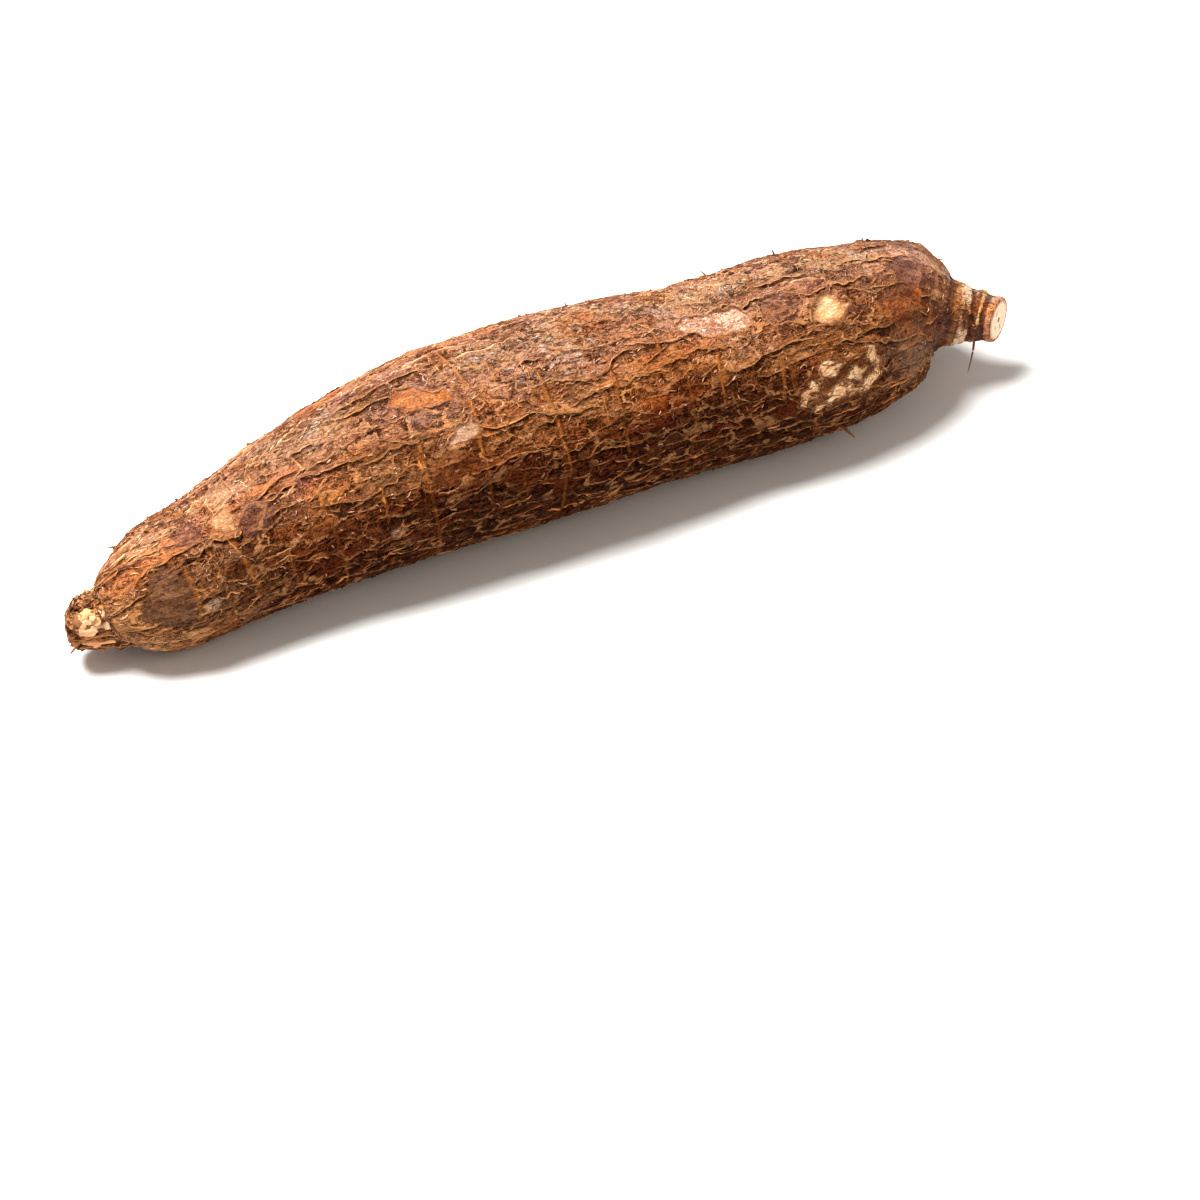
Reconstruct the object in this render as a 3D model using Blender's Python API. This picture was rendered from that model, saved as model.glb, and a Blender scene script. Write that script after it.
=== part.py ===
"""Cassava root, whole and unpeeled, lying on its belly.

One grown body: a swollen storage root that tapers to a broken tip at -X and draws in
to a short woody stalk, sawn off at a slant, at +X. The skin is a tube of round rings
carried along a curved middle line. Metres, +Z up, standing on z = 0.
"""
import bmesh
import bpy
import numpy as np
from mathutils import Vector

MM = 0.001

# The middle line and the thickness, station by station, in millimetres:
# (place along X, place along Y, height of the middle, radius).
TIP = [
    (-155.0, 1.8, 14.2, 6.4),
    (-151.5, 0.3, 13.6, 8.2),
    (-144.0, -0.1, 13.4, 9.6),
]
BODY = [
    (-138.0, -1.6, 16.1, 14.2),
    (-128.0, -2.4, 18.8, 18.8),
    (-114.0, -0.8, 20.0, 20.4),
    (-80.0, 3.6, 24.6, 25.1),
    (-50.0, 5.1, 28.1, 28.6),
    (0.0, 4.7, 29.8, 30.3),
    (27.0, 3.9, 29.2, 29.9),
    (54.0, 3.2, 27.5, 28.3),
    (82.0, 2.1, 28.1, 29.0),
    (106.0, 4.5, 26.2, 27.1),
]
SHOULDER = [
    (126.5, 6.0, 25.5, 23.1),
    (133.0, 4.9, 25.2, 21.0),
    (137.5, 2.6, 24.8, 17.0),
]
STALK = [
    (142.5, -0.7, 24.1, 11.3),
    (149.5, -4.4, 22.7, 8.7),
    (166.0, -14.0, 19.2, 6.9),
]
STATIONS = TIP + BODY + SHOULDER + STALK

RINGS = 66                # rings along the root
SEGMENTS = 36             # points round each ring
TIP_DOME = 1.6            # how far the broken tip bulges past its last ring, mm

# The root is not quite round: soft lobes wander round it from end to end. Each lobe is
# (waves round the ring, turns of drift along the root, phase in turns, share of radius).
LOBES = [(2, 0.55, 0.10, 0.012), (3, -0.80, 0.40, 0.009), (5, 1.30, 0.75, 0.005)]

SAW_POINT = (156.2, -8.3, 21.2)        # middle of the sawn face of the stalk, mm
SAW_NORMAL = (0.588, -0.806, 0.034)    # the way the sawn face looks

SKIN_COLOR = (0.165, 0.072, 0.030, 1.0)
SKIN_ROUGHNESS = 0.82
SMOOTH_ANGLE = 0.7        # edges sharper than this stay sharp, radians


def clear_scene():
    for obj in list(bpy.data.objects):
        bpy.data.objects.remove(obj, do_unlink=True)


def hermite(knots, values, at):
    """Smooth curve through values at knots, with slopes from the neighbouring knots."""
    slopes = np.gradient(values, knots, axis=0)
    i = np.clip(np.searchsorted(knots, at) - 1, 0, len(knots) - 2)
    step = (knots[i + 1] - knots[i])[:, None]
    t = (at - knots[i])[:, None] / step
    return ((2 * t**3 - 3 * t**2 + 1) * values[i]
            + (t**3 - 2 * t**2 + t) * step * slopes[i]
            + (3 * t**2 - 2 * t**3) * values[i + 1]
            + (t**3 - t**2) * step * slopes[i + 1])


def root_rings():
    """Ring points, shape (RINGS, SEGMENTS, 3): circles square to the middle line."""
    table = np.array(STATIONS) * MM
    gaps = np.linalg.norm(np.diff(table[:, :3], axis=0), axis=1)
    knots = np.concatenate([[0.0], np.cumsum(gaps)])
    at = np.linspace(0.0, knots[-1], RINGS)
    smooth = hermite(knots, table, at)
    middle = smooth[:, :3]
    radius = smooth[:, 3]

    ahead = np.gradient(middle, at, axis=0)
    ahead /= np.linalg.norm(ahead, axis=1)[:, None]
    side = np.cross([0.0, 0.0, 1.0], ahead)
    side /= np.linalg.norm(side, axis=1)[:, None]
    up = np.cross(ahead, side)

    turn = np.arange(SEGMENTS) / SEGMENTS
    angle = 2 * np.pi * turn - np.pi / 2      # the first point is the lowest one
    along = at / at[-1]
    bulge = np.ones((RINGS, SEGMENTS))
    for waves, drift, phase, share in LOBES:
        lobe = waves * turn[None, :] + drift * along[:, None] + phase
        bulge += share * np.sin(2 * np.pi * lobe)
    reach = radius[:, None] * bulge
    return (middle[:, None]
            + (reach * np.cos(angle))[..., None] * side[:, None]
            + (reach * np.sin(angle))[..., None] * up[:, None])


def add_tube(bm, rings):
    """Quads between neighbouring rings, and a fan of triangles closing each end."""
    grid = [[bm.verts.new(point) for point in ring] for ring in rings]
    for a, b in zip(grid, grid[1:]):
        for j in range(SEGMENTS):
            k = (j + 1) % SEGMENTS
            bm.faces.new((a[j], b[j], b[k], a[k]))

    outward = rings[0].mean(axis=0) - rings[1].mean(axis=0)
    outward *= TIP_DOME * MM / np.linalg.norm(outward)
    tip_pole = bm.verts.new(rings[0].mean(axis=0) + outward)
    stalk_pole = bm.verts.new(rings[-1].mean(axis=0))
    for j in range(SEGMENTS):
        k = (j + 1) % SEGMENTS
        bm.faces.new((grid[0][j], grid[0][k], tip_pole))
        bm.faces.new((grid[-1][k], grid[-1][j], stalk_pole))


def saw_stalk(bm):
    """Cut the stalk off at a slant and close the cut with one flat face."""
    whole = bm.verts[:] + bm.edges[:] + bm.faces[:]
    bmesh.ops.bisect_plane(bm, geom=whole, dist=1e-6, plane_co=Vector(SAW_POINT) * MM,
                           plane_no=Vector(SAW_NORMAL).normalized(), clear_outer=True)
    rim = [edge for edge in bm.edges if edge.is_boundary]
    bmesh.ops.holes_fill(bm, edges=rim, sides=0)


def skin_material():
    material = bpy.data.materials.new("cassava_skin")
    material.use_nodes = True
    shader = material.node_tree.nodes["Principled BSDF"]
    shader.inputs["Base Color"].default_value = SKIN_COLOR
    shader.inputs["Roughness"].default_value = SKIN_ROUGHNESS
    shader.inputs["Metallic"].default_value = 0.0
    return material


def centre_on_floor(mesh):
    """Put the middle of the bounding box's bottom at the origin."""
    points = np.array([vertex.co for vertex in mesh.vertices])
    low = points.min(axis=0)
    high = points.max(axis=0)
    points -= [(low[0] + high[0]) / 2, (low[1] + high[1]) / 2, low[2]]
    mesh.vertices.foreach_set("co", points.ravel())
    mesh.update()


def make_root():
    rings = root_rings()
    rings[..., 2] = np.maximum(rings[..., 2], 0.0)   # the belly is flat where it rests
    bm = bmesh.new()
    add_tube(bm, rings)
    saw_stalk(bm)
    bmesh.ops.recalc_face_normals(bm, faces=bm.faces)
    bmesh.ops.triangulate(bm, faces=bm.faces)

    mesh = bpy.data.meshes.new("cassava_root")
    bm.to_mesh(mesh)
    bm.free()
    centre_on_floor(mesh)
    mesh.shade_smooth()
    mesh.set_sharp_from_angle(angle=SMOOTH_ANGLE)
    mesh.materials.append(skin_material())
    root = bpy.data.objects.new("cassava_root", mesh)
    bpy.context.scene.collection.objects.link(root)
    return root


clear_scene()
make_root()
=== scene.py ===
import math
import types
import bpy
import numpy as np
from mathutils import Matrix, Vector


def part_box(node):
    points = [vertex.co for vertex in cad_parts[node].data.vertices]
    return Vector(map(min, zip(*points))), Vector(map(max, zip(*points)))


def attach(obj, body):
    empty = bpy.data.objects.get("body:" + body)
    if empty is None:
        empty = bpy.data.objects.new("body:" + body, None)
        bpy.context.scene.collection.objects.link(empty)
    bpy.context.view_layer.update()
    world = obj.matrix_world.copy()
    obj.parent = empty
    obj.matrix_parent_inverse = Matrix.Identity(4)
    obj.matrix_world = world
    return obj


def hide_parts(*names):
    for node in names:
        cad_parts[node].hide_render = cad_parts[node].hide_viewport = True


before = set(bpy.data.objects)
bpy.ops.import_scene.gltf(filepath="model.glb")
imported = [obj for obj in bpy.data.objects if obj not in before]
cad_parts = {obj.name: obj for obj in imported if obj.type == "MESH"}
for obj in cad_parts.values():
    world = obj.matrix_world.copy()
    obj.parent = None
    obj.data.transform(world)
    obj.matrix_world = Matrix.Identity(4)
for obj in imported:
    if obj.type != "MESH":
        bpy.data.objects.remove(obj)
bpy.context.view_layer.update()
rootLow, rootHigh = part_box("cassava_root")
designLength = 320.2                                     # length that the millimetres below are drawn for
unit = (rootHigh.x - rootLow.x) / designLength           # metres in one drawn millimetre
dice = np.random.default_rng(7)
fullTurn = 2 * math.pi
golden = 0.6180339887                                    # steps of this share of a turn never line up


def latticeNoise(points, seed):
    # a random number on every whole-number lattice point, blended between them with
    # the fade 6t^5 - 15t^4 + 10t^3, so it runs smoothly from -1 to 1
    cell = np.floor(points).astype(np.int64)
    t = points - cell
    t = t * t * t * (t * (t * 6 - 15) + 10)
    total = 0.0
    for corner in range(8):
        step = np.array([corner & 1, corner >> 1 & 1, corner >> 2 & 1])
        at = cell + step
        mix = (at[..., 0] * 73856093) ^ (at[..., 1] * 19349663) ^ (at[..., 2] * 83492791)
        mix = (mix ^ (seed * 2654435761)) & 0xffffffff
        mix = ((mix ^ (mix >> 15)) * 2246822519) & 0xffffffff
        mix = ((mix ^ (mix >> 13)) * 3266489917) & 0xffffffff
        value = ((mix ^ (mix >> 16)) & 0xffff) / 32767.5 - 1
        total = total + value * np.prod(np.where(step == 1, t, 1 - t), axis=-1)
    return total


def cloud(points, size, octaves, seed):
    # lattice noise of the given feature size in mm, plus finer octaves at half the
    # size and 0.55 of the strength each; size may differ along and across the root
    total = 0.0
    strength = 1.0
    scaled = points / np.asarray(size, float)
    for k in range(octaves):
        total = total + strength * latticeNoise(scaled * 2.0**k + 17.3 * k, seed + k)
        strength *= 0.55
    return total


def wiggle(t, wave, seed, rows):
    # one-dimensional noise of the given wavelength, a separate one for each row
    spot = np.stack([t / wave, 3.7 * rows + 0 * t, 0.5 + 0 * t], axis=-1)
    return latticeNoise(spot, seed)


def smoothThrough(knots, values, at):
    # cubic pieces through the values at the knots, sloped as their neighbours are
    slopes = np.gradient(values, knots, axis=0)
    i = np.clip(np.searchsorted(knots, at) - 1, 0, len(knots) - 2)
    step = (knots[i + 1] - knots[i])[:, None]
    t = (at - knots[i])[:, None] / step
    return ((2 * t**3 - 3 * t**2 + 1) * values[i] + (t**3 - 2 * t**2 + t) * step * slopes[i]
            + (3 * t**2 - 2 * t**3) * values[i + 1] + (t**3 - t**2) * step * slopes[i + 1])


def ease(low, high, x):
    # 0 below low, 1 above high, 3t^2 - 2t^3 between
    t = np.clip((x - low) / (high - low), 0, 1)
    return t * t * (3 - 2 * t)


def unitVectors(v):
    return v / np.maximum(np.linalg.norm(v, axis=-1, keepdims=True), 1e-12)


rootShape = {
    "line": [   # x, y, height of the middle, radius, in mm from the middle of the root's base
        (-157.8, -1.95, 14.2, 6.4), (-154.3, -3.45, 13.6, 8.2), (-146.8, -3.85, 13.4, 9.6),
        (-140.8, -5.35, 16.1, 14.2), (-130.8, -6.15, 18.8, 18.8), (-116.8, -4.55, 20.0, 20.4),
        (-82.8, -0.15, 24.6, 25.1), (-52.8, 1.35, 28.1, 28.6), (-2.8, 0.95, 29.8, 30.3),
        (24.2, 0.15, 29.2, 29.9), (51.2, -0.55, 27.5, 28.3), (79.2, -1.65, 28.1, 29.0),
        (103.2, 0.75, 26.2, 27.1), (123.7, 2.25, 25.5, 23.1), (130.2, 1.15, 25.2, 21.0),
        (134.7, -1.15, 24.8, 17.0), (139.7, -4.45, 24.1, 11.3), (146.7, -8.15, 22.7, 8.7),
        (163.2, -17.75, 19.2, 6.9)],
    "lobes": [(2, 0.55, 0.10, 0.012), (3, -0.80, 0.40, 0.009), (5, 1.30, 0.75, 0.005)],
    "sawPoint": (153.4, -12.05, 21.2),
    "sawNormal": (0.588, -0.806, 0.034),
    "slant": 14.0,          # the last stretch before the saw cut leans over to meet it, mm
    # place along, and from one ring of points to the next there, mm
    "spacing": [(0.0, 0.55), (9.0, 0.6), (16.0, 1.22), (292.0, 1.22), (298.0, 0.45), (330.0, 0.45)],
    "round": 312,           # points in a ring
    "tipRings": 9, "sawRings": 9, "tipDome": 1.2,
}


def plainRoot(shape):
    # circles of the smooth radius, square to the smooth middle line, their size nudged
    # by sine lobes; near the stalk's end each point slides ahead until the last ring
    # lies in the slanted plane of the saw cut
    table = np.array(shape["line"], float)
    gaps = np.linalg.norm(np.diff(table[:, :3], axis=0), axis=1)
    knots = np.concatenate([[0.0], np.cumsum(gaps)])
    normal = unitVectors(np.array(shape["sawNormal"]))
    fine = np.linspace(knots[-4], knots[-1], 2000)
    past = (smoothThrough(knots, table, fine)[:, :3] - shape["sawPoint"]) @ normal
    length = float(np.interp(0.0, past, fine))
    coarse = np.linspace(0.0, length, 3000)
    passed = np.cumsum(1 / np.interp(coarse, *np.array(shape["spacing"]).T)) * (coarse[1] - coarse[0])
    rings = int(passed[-1])
    s = np.interp(np.linspace(passed[0], passed[-1], rings), passed, coarse)
    smooth = smoothThrough(knots, table, s)
    ahead = unitVectors(np.gradient(smooth[:, :3], s, axis=0))
    side = unitVectors(np.cross([0.0, 0.0, 1.0], ahead))
    up = np.cross(ahead, side)
    turn = np.arange(shape["round"]) / shape["round"]
    angle = fullTurn * turn - math.pi / 2
    bulge = 1.0
    for waves, drift, phase, share in shape["lobes"]:
        bulge = bulge + share * np.sin(fullTurn * (waves * turn + drift * s[:, None] / knots[-1] + phase))
    reach = smooth[:, 3:] * bulge
    points = (smooth[:, None, :3] + (reach * np.cos(angle))[..., None] * side[:, None]
              + (reach * np.sin(angle))[..., None] * up[:, None])
    short = (np.array(shape["sawPoint"]) - points[-1]) @ normal / (ahead[-1] @ normal)
    slide = ease(length - shape["slant"], length, s)[:, None] * short
    points = points + slide[..., None] * ahead[:, None]
    wrapped = np.concatenate([points[:, -1:], points, points[:, :1]], axis=1)
    across = wrapped[:, 2:] - wrapped[:, :-2]
    normals = unitVectors(np.cross(across, np.gradient(points, s, axis=0)))
    outward = np.sign(((points - smooth[:, None, :3]) * normals).sum(-1).mean())
    return {"points": points, "normals": normals * outward, "s": s, "turn": turn, "length": length,
            "girth": fullTurn * smooth[:, 3], "ahead": ahead}


tube = plainRoot(rootShape)
print("plain root", tube["points"].shape, "length along it", round(tube["length"], 1), "mm")


def sample(field, s, turn):
    # the field at any place along (mm) and round (turns): straight blends between grid points
    i = np.interp(s, tube["s"], np.arange(field.shape[0]))
    j = (turn % 1.0) * field.shape[1]
    i0 = np.minimum(i.astype(int), field.shape[0] - 2)
    j0 = j.astype(int) % field.shape[1]
    j1 = (j0 + 1) % field.shape[1]
    a, b = i - i0, j - np.floor(j)
    if field.ndim == 3:
        a, b = a[..., None], b[..., None]
    return ((field[i0, j0] * (1 - b) + field[i0, j1] * b) * (1 - a)
            + (field[i0 + 1, j0] * (1 - b) + field[i0 + 1, j1] * b) * a)


def girthAt(s):
    return np.interp(s, tube["s"], tube["girth"])


def straightened(s, turn):
    # the root pulled straight: distance along, and a circle of the local radius; noise
    # read here follows the bark and has no seam
    radius = girthAt(s) / fullTurn
    angle = fullTurn * turn
    return np.stack([s + 0 * turn, radius * np.cos(angle), radius * np.sin(angle)], axis=-1)


def wrapTurn(difference):
    return (difference + 0.5) % 1.0 - 0.5


barkEdges = {
    # how many, shortest and longest (mm), steps along each, rise of the bark behind it (mm)
    "long": (18, 36, 64, 120, (0.55, 1.1)),
    "middle": (200, 8, 32, 64, (0.40, 1.15)),
    "short": (560, 3, 12, 24, (0.15, 0.5)),
    "tiny": (420, 1.5, 5, 10, (0.12, 0.30)),
    "swing": [(2.4, 15.0), (1.4, 5.4), (1.0, 2.4), (0.35, 1.0)],      # sideways swing and its wavelength, mm
    "lean": 0.24,               # greatest slope of an edge
    "leanMore": {"short": 2.2, "tiny": 5.0},        # how much steeper some kinds run
    "reach": (0.9, 3.4),        # how far behind it the bark rises, mm
    "upward": 0.12,             # share of the edges whose free side faces up
    # edges given one by one: places along the root (mm) and round it (turns)
    "placed": [
        [(17.0, 0.665), (20.5, 0.640), (22.5, 0.600), (27.0, 0.585), (36.0, 0.580), (46.0, 0.585)],
        [(53.0, 0.545), (61.0, 0.560), (70.0, 0.548), (80.0, 0.556)],
        [(126.0, 0.612), (133.0, 0.634), (143.0, 0.630), (150.0, 0.640)],
        [(155.0, 0.640), (162.0, 0.630), (171.0, 0.622), (176.0, 0.612)],
        [(112.0, 0.676), (124.0, 0.690), (136.0, 0.684), (146.0, 0.692)],
        [(176.0, 0.560), (188.0, 0.575), (198.0, 0.568), (206.0, 0.560)],
        [(84.0, 0.470), (96.0, 0.482), (110.0, 0.478), (124.0, 0.492)],
        [(206.0, 0.640), (218.0, 0.646), (229.0, 0.628), (238.0, 0.636)],
        [(246.0, 0.655), (256.0, 0.648), (262.0, 0.655), (268.0, 0.646)],
        [(252.0, 0.520), (262.0, 0.512), (273.0, 0.524), (284.0, 0.548)],
        [(262.0, 0.590), (270.0, 0.582), (279.0, 0.590), (287.0, 0.586)],
    ],
}


def swingSideways(s, seed):
    # the sum of noises of falling size, so the line is jagged as torn bark is
    rows = np.arange(len(s))[:, None]
    total = 0.0
    for k, (swing, wave) in enumerate(barkEdges["swing"]):
        total = total + swing * wiggle(s, wave, seed + k, rows)
    return total


def edgeLines(kind, seed):
    # edges of one kind run lengthwise from a random start; places round the root follow
    # the golden ratio, so no side is left bare; free edges face down, as tiles do
    count, shortest, longest, steps, rise = barkEdges[kind]
    length = shortest + (longest - shortest) * dice.random(count) ** 1.6
    start = dice.uniform(-4, tube["length"] - 26, count)
    length = np.minimum(length, tube["length"] - 20 - start)
    turn = (np.arange(count) * golden + 0.1 * seed) % 1.0
    t = np.linspace(0, 1, steps)
    s = start[:, None] + length[:, None] * t
    lean = dice.uniform(-barkEdges["lean"], barkEdges["lean"], count) * barkEdges["leanMore"].get(kind, 1.0)
    offset = lean[:, None] * length[:, None] * t + swingSideways(s, seed)
    s = np.clip(s, 1.0, tube["length"] - 4.0)
    turns = turn[:, None] + offset / girthAt(s)
    middle = turns[:, steps // 2] % 1.0
    side = np.where(middle > 0.5, 1.0, -1.0)
    side = np.where(dice.random(count) < barkEdges["upward"], -side, side)
    return {"s": s, "turn": turns, "side": side, "rise": dice.uniform(*rise, count),
            "reach": dice.uniform(*barkEdges["reach"], count), "tint": dice.uniform(-1, 1, count)}


def placedLines(seed):
    # the listed edges, smoothed through their points and given the same jags
    steps = 80
    s, turns = [], []
    for line in barkEdges["placed"]:
        line = np.array(line)
        knots = np.arange(len(line), dtype=float)
        fine = smoothThrough(knots, line, np.linspace(0, knots[-1], steps))
        s.append(fine[:, 0])
        turns.append(fine[:, 1])
    s, turns = np.array(s), np.array(turns)
    turns = turns + 0.5 * swingSideways(s, seed) / girthAt(s)
    count = len(s)
    return {"s": s, "turn": turns, "side": np.ones(count), "rise": np.full(count, 0.75),
            "reach": np.full(count, 3.5), "tint": dice.uniform(-0.5, 0.8, count)}


edgeSets = [placedLines(3), edgeLines("long", 11), edgeLines("middle", 23), edgeLines("short", 37),
            edgeLines("tiny", 53)]
print("bark edges", sum(len(lines["s"]) for lines in edgeSets))


def takeNearest(part, best, score, fields):
    # where the score is lower than the best so far, it and the new values take over
    better = score < best[part]
    for field, value in [(best, score), *fields]:
        field[part] = np.where(better, value, field[part])


def edgeRelief():
    # bark rises towards each edge as exp(-distance / reach) and drops off past it, with
    # a shallow groove at its foot; every edge fades out at its two ends; the bark behind
    # an edge has a tint of its own that fades over a few mm; also the signed distance to
    # the strongest edge near by (mm, positive past its free side) and its strength
    s, turn = tube["s"], tube["turn"]
    height = np.zeros((len(s), len(turn)))
    tint = np.zeros_like(height)
    away = np.full_like(height, 3.0)
    power = np.zeros_like(height)
    best = np.full_like(height, 4.5)
    for lines in edgeSets:
        for k in range(len(lines["s"])):
            line = lines["s"][k]
            rows = np.nonzero((s >= line[0]) & (s <= line[-1]))[0]
            if len(rows) < 2:
                continue
            at = np.interp(s[rows], line, lines["turn"][k])
            past = lines["side"][k] * wrapTurn(turn[None, :] - at[:, None]) * tube["girth"][rows][:, None]
            along = (s[rows] - line[0]) / (line[-1] - line[0])
            fade = np.sqrt(np.clip(np.sin(math.pi * along), 0, 1))[:, None]
            over = 1 - ease(-0.2, 0.35, past)
            rise = lines["rise"][k] * fade * over * np.exp(-np.maximum(-past, 0) / lines["reach"][k])
            strength = min(1.0, lines["rise"][k] / 0.5)
            groove = 0.25 * strength * fade * np.exp(-((past - 0.7) / 0.5) ** 2)
            height[rows] = np.maximum(height[rows], rise) + 0.25 * np.minimum(height[rows], rise) - groove
            behind = np.exp(np.minimum(past, 0) / (2.2 * lines["reach"][k]))
            tint[rows] += lines["tint"][k] * strength * fade * over * behind
            takeNearest(rows, best, np.abs(past) + 1.5 * (1 - strength * fade),
                        [(away, np.clip(past, -3, 3)), (power, strength * fade)])
    return height, np.clip(tint, -1, 1), away, power


# places where the outer bark is gone: the kind, the middle along (mm) and round (turns),
# how deep, how high the torn rim, the outline in mm from the middle (along, round)
patchPlan = [
    ("orange", 117.1, 0.539, 0.45, 0.40, [(-9, -2), (-8, -6), (-5.5, -7.3), (-1, -5.2), (2, -1.5),
        (6, 0.8), (10, 4), (9, 5), (4, 4.2), (-1, 3.2), (-6, 3)]),
    ("wedge", 122.0, 0.620, 0.35, 0.40, [(5.2, -4.5), (5.6, 2), (3, 2.6), (-1, 2.9), (-7, 2.6), (-5, 0.3),
        (-1, -1.3), (2.6, -2.6)]),
    ("cream", 52.5, 0.505, 0.25, 0.20, [(1, -9.5), (6, -8), (5, -3), (3.6, 1), (-1, 3), (-5, 2), (-4.6, -2)]),
    ("salmon", 49.5, 0.562, 0.30, 0.30, [(2.6, -4.5), (2.2, 0), (2, 3.6), (-2, 3.3), (-3, 1.6), (-5, 0.6),
        (-4.2, -3.6)]),
    ("pink", 210.9, 0.558, 0.40, 0.45, [(-16, -3), (-10, -5), (-4, -4.2), (3, -4.6), (9, -3.6), (13, 0),
        (12.6, 3), (7, 4.4), (1, 3.4), (-6, 3.8), (-13, 1.5)]),
    ("plum", 232.0, 0.567, 0.30, 0.12, [(-5, -5), (2, -6), (7, -3), (6, 2.6), (2, 5.6), (-3.5, 4.6),
        (-6, 0)]),
    ("flesh", 244.2, 0.592, 0.85, 0.70, [(1.4, -7.0), (3.0, -3.8), (5.4, -1.4), (7.0, 1.6), (3.6, 3.6),
        (0.6, 5.8), (-3.4, 4.6), (-6.4, 1.8), (-5.0, -2.4), (-1.8, -4.6)]),
    ("plate", 26.3, 0.662, 0.20, 0.0, [(1.6, -10), (-1.6, -7), (-2.8, -3), (-5.8, -0.6), (-6.4, 4),
        (-2, 9), (3.6, 10.6), (6.2, 5), (5.4, -2), (4.2, -8)]),
    ("plum", 57.1, 0.590, 0.10, 0.0, [(-1, -6), (6.5, -4), (6, 2), (2, 5.5), (-4, 5), (-6.5, 0)]),
    ("plum", 36.4, 0.545, 0.05, 0.0, [(-3, -3.5), (3, -3.8), (4.6, 1), (1, 3.6), (-4, 2)]),
    ("plum", 283.0, 0.560, 0.05, 0.0, [(-9, -3), (-2, -6), (6, -6), (9, 0), (5, 6), (-3, 7), (-8, 3)]),
    ("rust", 272.0, 0.622, 0.05, 0.0, [(-10, -4), (-2, -6), (8, -5), (12, 1), (6, 6), (-4, 7), (-10, 3)]),
    ("rust", 186.5, 0.742, 0.30, 0.35, [(-4, -2), (1, -3), (5, -1), (4, 2.4), (-1, 2.8), (-4, 1)]),
    ("rust", 117.0, 0.666, 0.10, 0.0, [(-7, -4.5), (2, -4), (9, -2), (6, 4), (-2, 5), (-8, 3)]),
    ("dark", 243.5, 0.727, 0.35, 0.0, [(-13, -1), (-9, -7), (-2, -7.5), (5, -7), (12, -8.5), (14, 1),
        (11.5, 7), (2, 8.6), (-6, 8), (-13, 5)]),
    ("scar", 238.8, 0.697, -0.35, 0.25, [(-2.6, -1.6), (-0.6, -3.4), (2.0, -2.4), (4.2, -1.4), (2.0, 0.6),
        (2.8, 2.6), (-0.4, 2.0), (-2.2, 3.2), (-1.6, 0.6)]),
    ("scar", 246.5, 0.719, -0.35, 0.25, [(-3.6, 0.4), (-1.2, -1.6), (0.2, -3.4), (1.6, -1.8), (4.4, -1.6),
        (2.4, 0.8), (2.6, 3.0), (-0.6, 1.4), (-2.6, 2.6)]),
    ("scar", 252.8, 0.695, -0.25, 0.20, [(-1.8, -4.0), (0.8, -2.8), (2.4, -3.0), (2.2, 1.2), (0.6, 3.4),
        (-0.6, 1.2), (-2.8, 1.0), (-1.2, -1.0)]),
    ("scar", 252.2, 0.740, -0.25, 0.30, [(4.4, -4.6), (3.6, 0.6), (1.6, 1.8), (0.4, 4.2), (-3.2, 4.4),
        (-1.8, 2.2), (-4.6, 1.2), (-1.4, -0.8), (0.4, -0.4), (1.6, -3.8)]),
    ("scar", 240.8, 0.743, -0.35, 0.30, [(-5.4, 1.6), (-2.8, 0.2), (-3.8, -2.4), (-0.4, -1.8), (1.8, -3.6),
        (2.6, -1.8), (5.6, -2.0), (2.8, 0.6), (3.4, 2.2), (0.6, 2.0), (-0.8, 4.6), (-2.4, 2.4)]),
    ("scar", 233.3, 0.732, -0.25, 0.30, [(-3.6, 2.8), (-1.6, 0.8), (-3.0, -1.8), (0.2, -2.4), (1.4, -4.8),
        (3.2, -2.2), (0.8, -0.2), (2.2, 1.4), (0.2, 2.0), (0.4, 5.0), (-1.6, 3.2)]),
    ("scar", 246.8, 0.752, -0.20, 0.15, [(-2.6, 0.6), (-0.4, -1.2), (2.4, -0.8), (1.2, 0.8), (-0.8, 1.6)]),
    ("scar", 236.2, 0.762, -0.20, 0.15, [(-2.2, 0.8), (0.2, -1.4), (3.0, -0.6), (0.8, 1.2)]),
    ("scar", 255.6, 0.715, -0.20, 0.15, [(-1.0, -2.4), (1.2, -1.0), (0.6, 1.2), (0.8, 3.0), (-1.2, 1.0)]),
    ("white", 158.0, 0.545, 0.0, 0.0, [(-14, -12), (2, -15), (14, -7), (16, 4), (10, 12), (-4, 10),
        (-15, 5), (-18, -4)]),
    ("white", 214.0, 0.610, 0.0, 0.0, [(-15, -3), (0, -4), (15, -2), (12, 4), (-2, 5), (-14, 3)]),
    ("white", 222.0, 0.470, 0.0, 0.0, [(-18, -5), (0, -7), (16, -6), (18, 5), (2, 7), (-16, 6)]),
]
strayPatches = {
    "count": 34,
    "kinds": ["plum", "rust", "pink", "orange", "white", "white", "cream", "scar", "rust", "wedge"],
    "sizes": {"white": 2.0, "scar": 0.5},                   # times the usual size
    "dips": {"white": 0.0, "scar": -0.2, "plum": 0.15, "rust": 0.15}, "usualDip": 0.3,
    "rimless": ("white", "plum", "rust", "cream"), "usualRim": 0.25,
}


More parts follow.
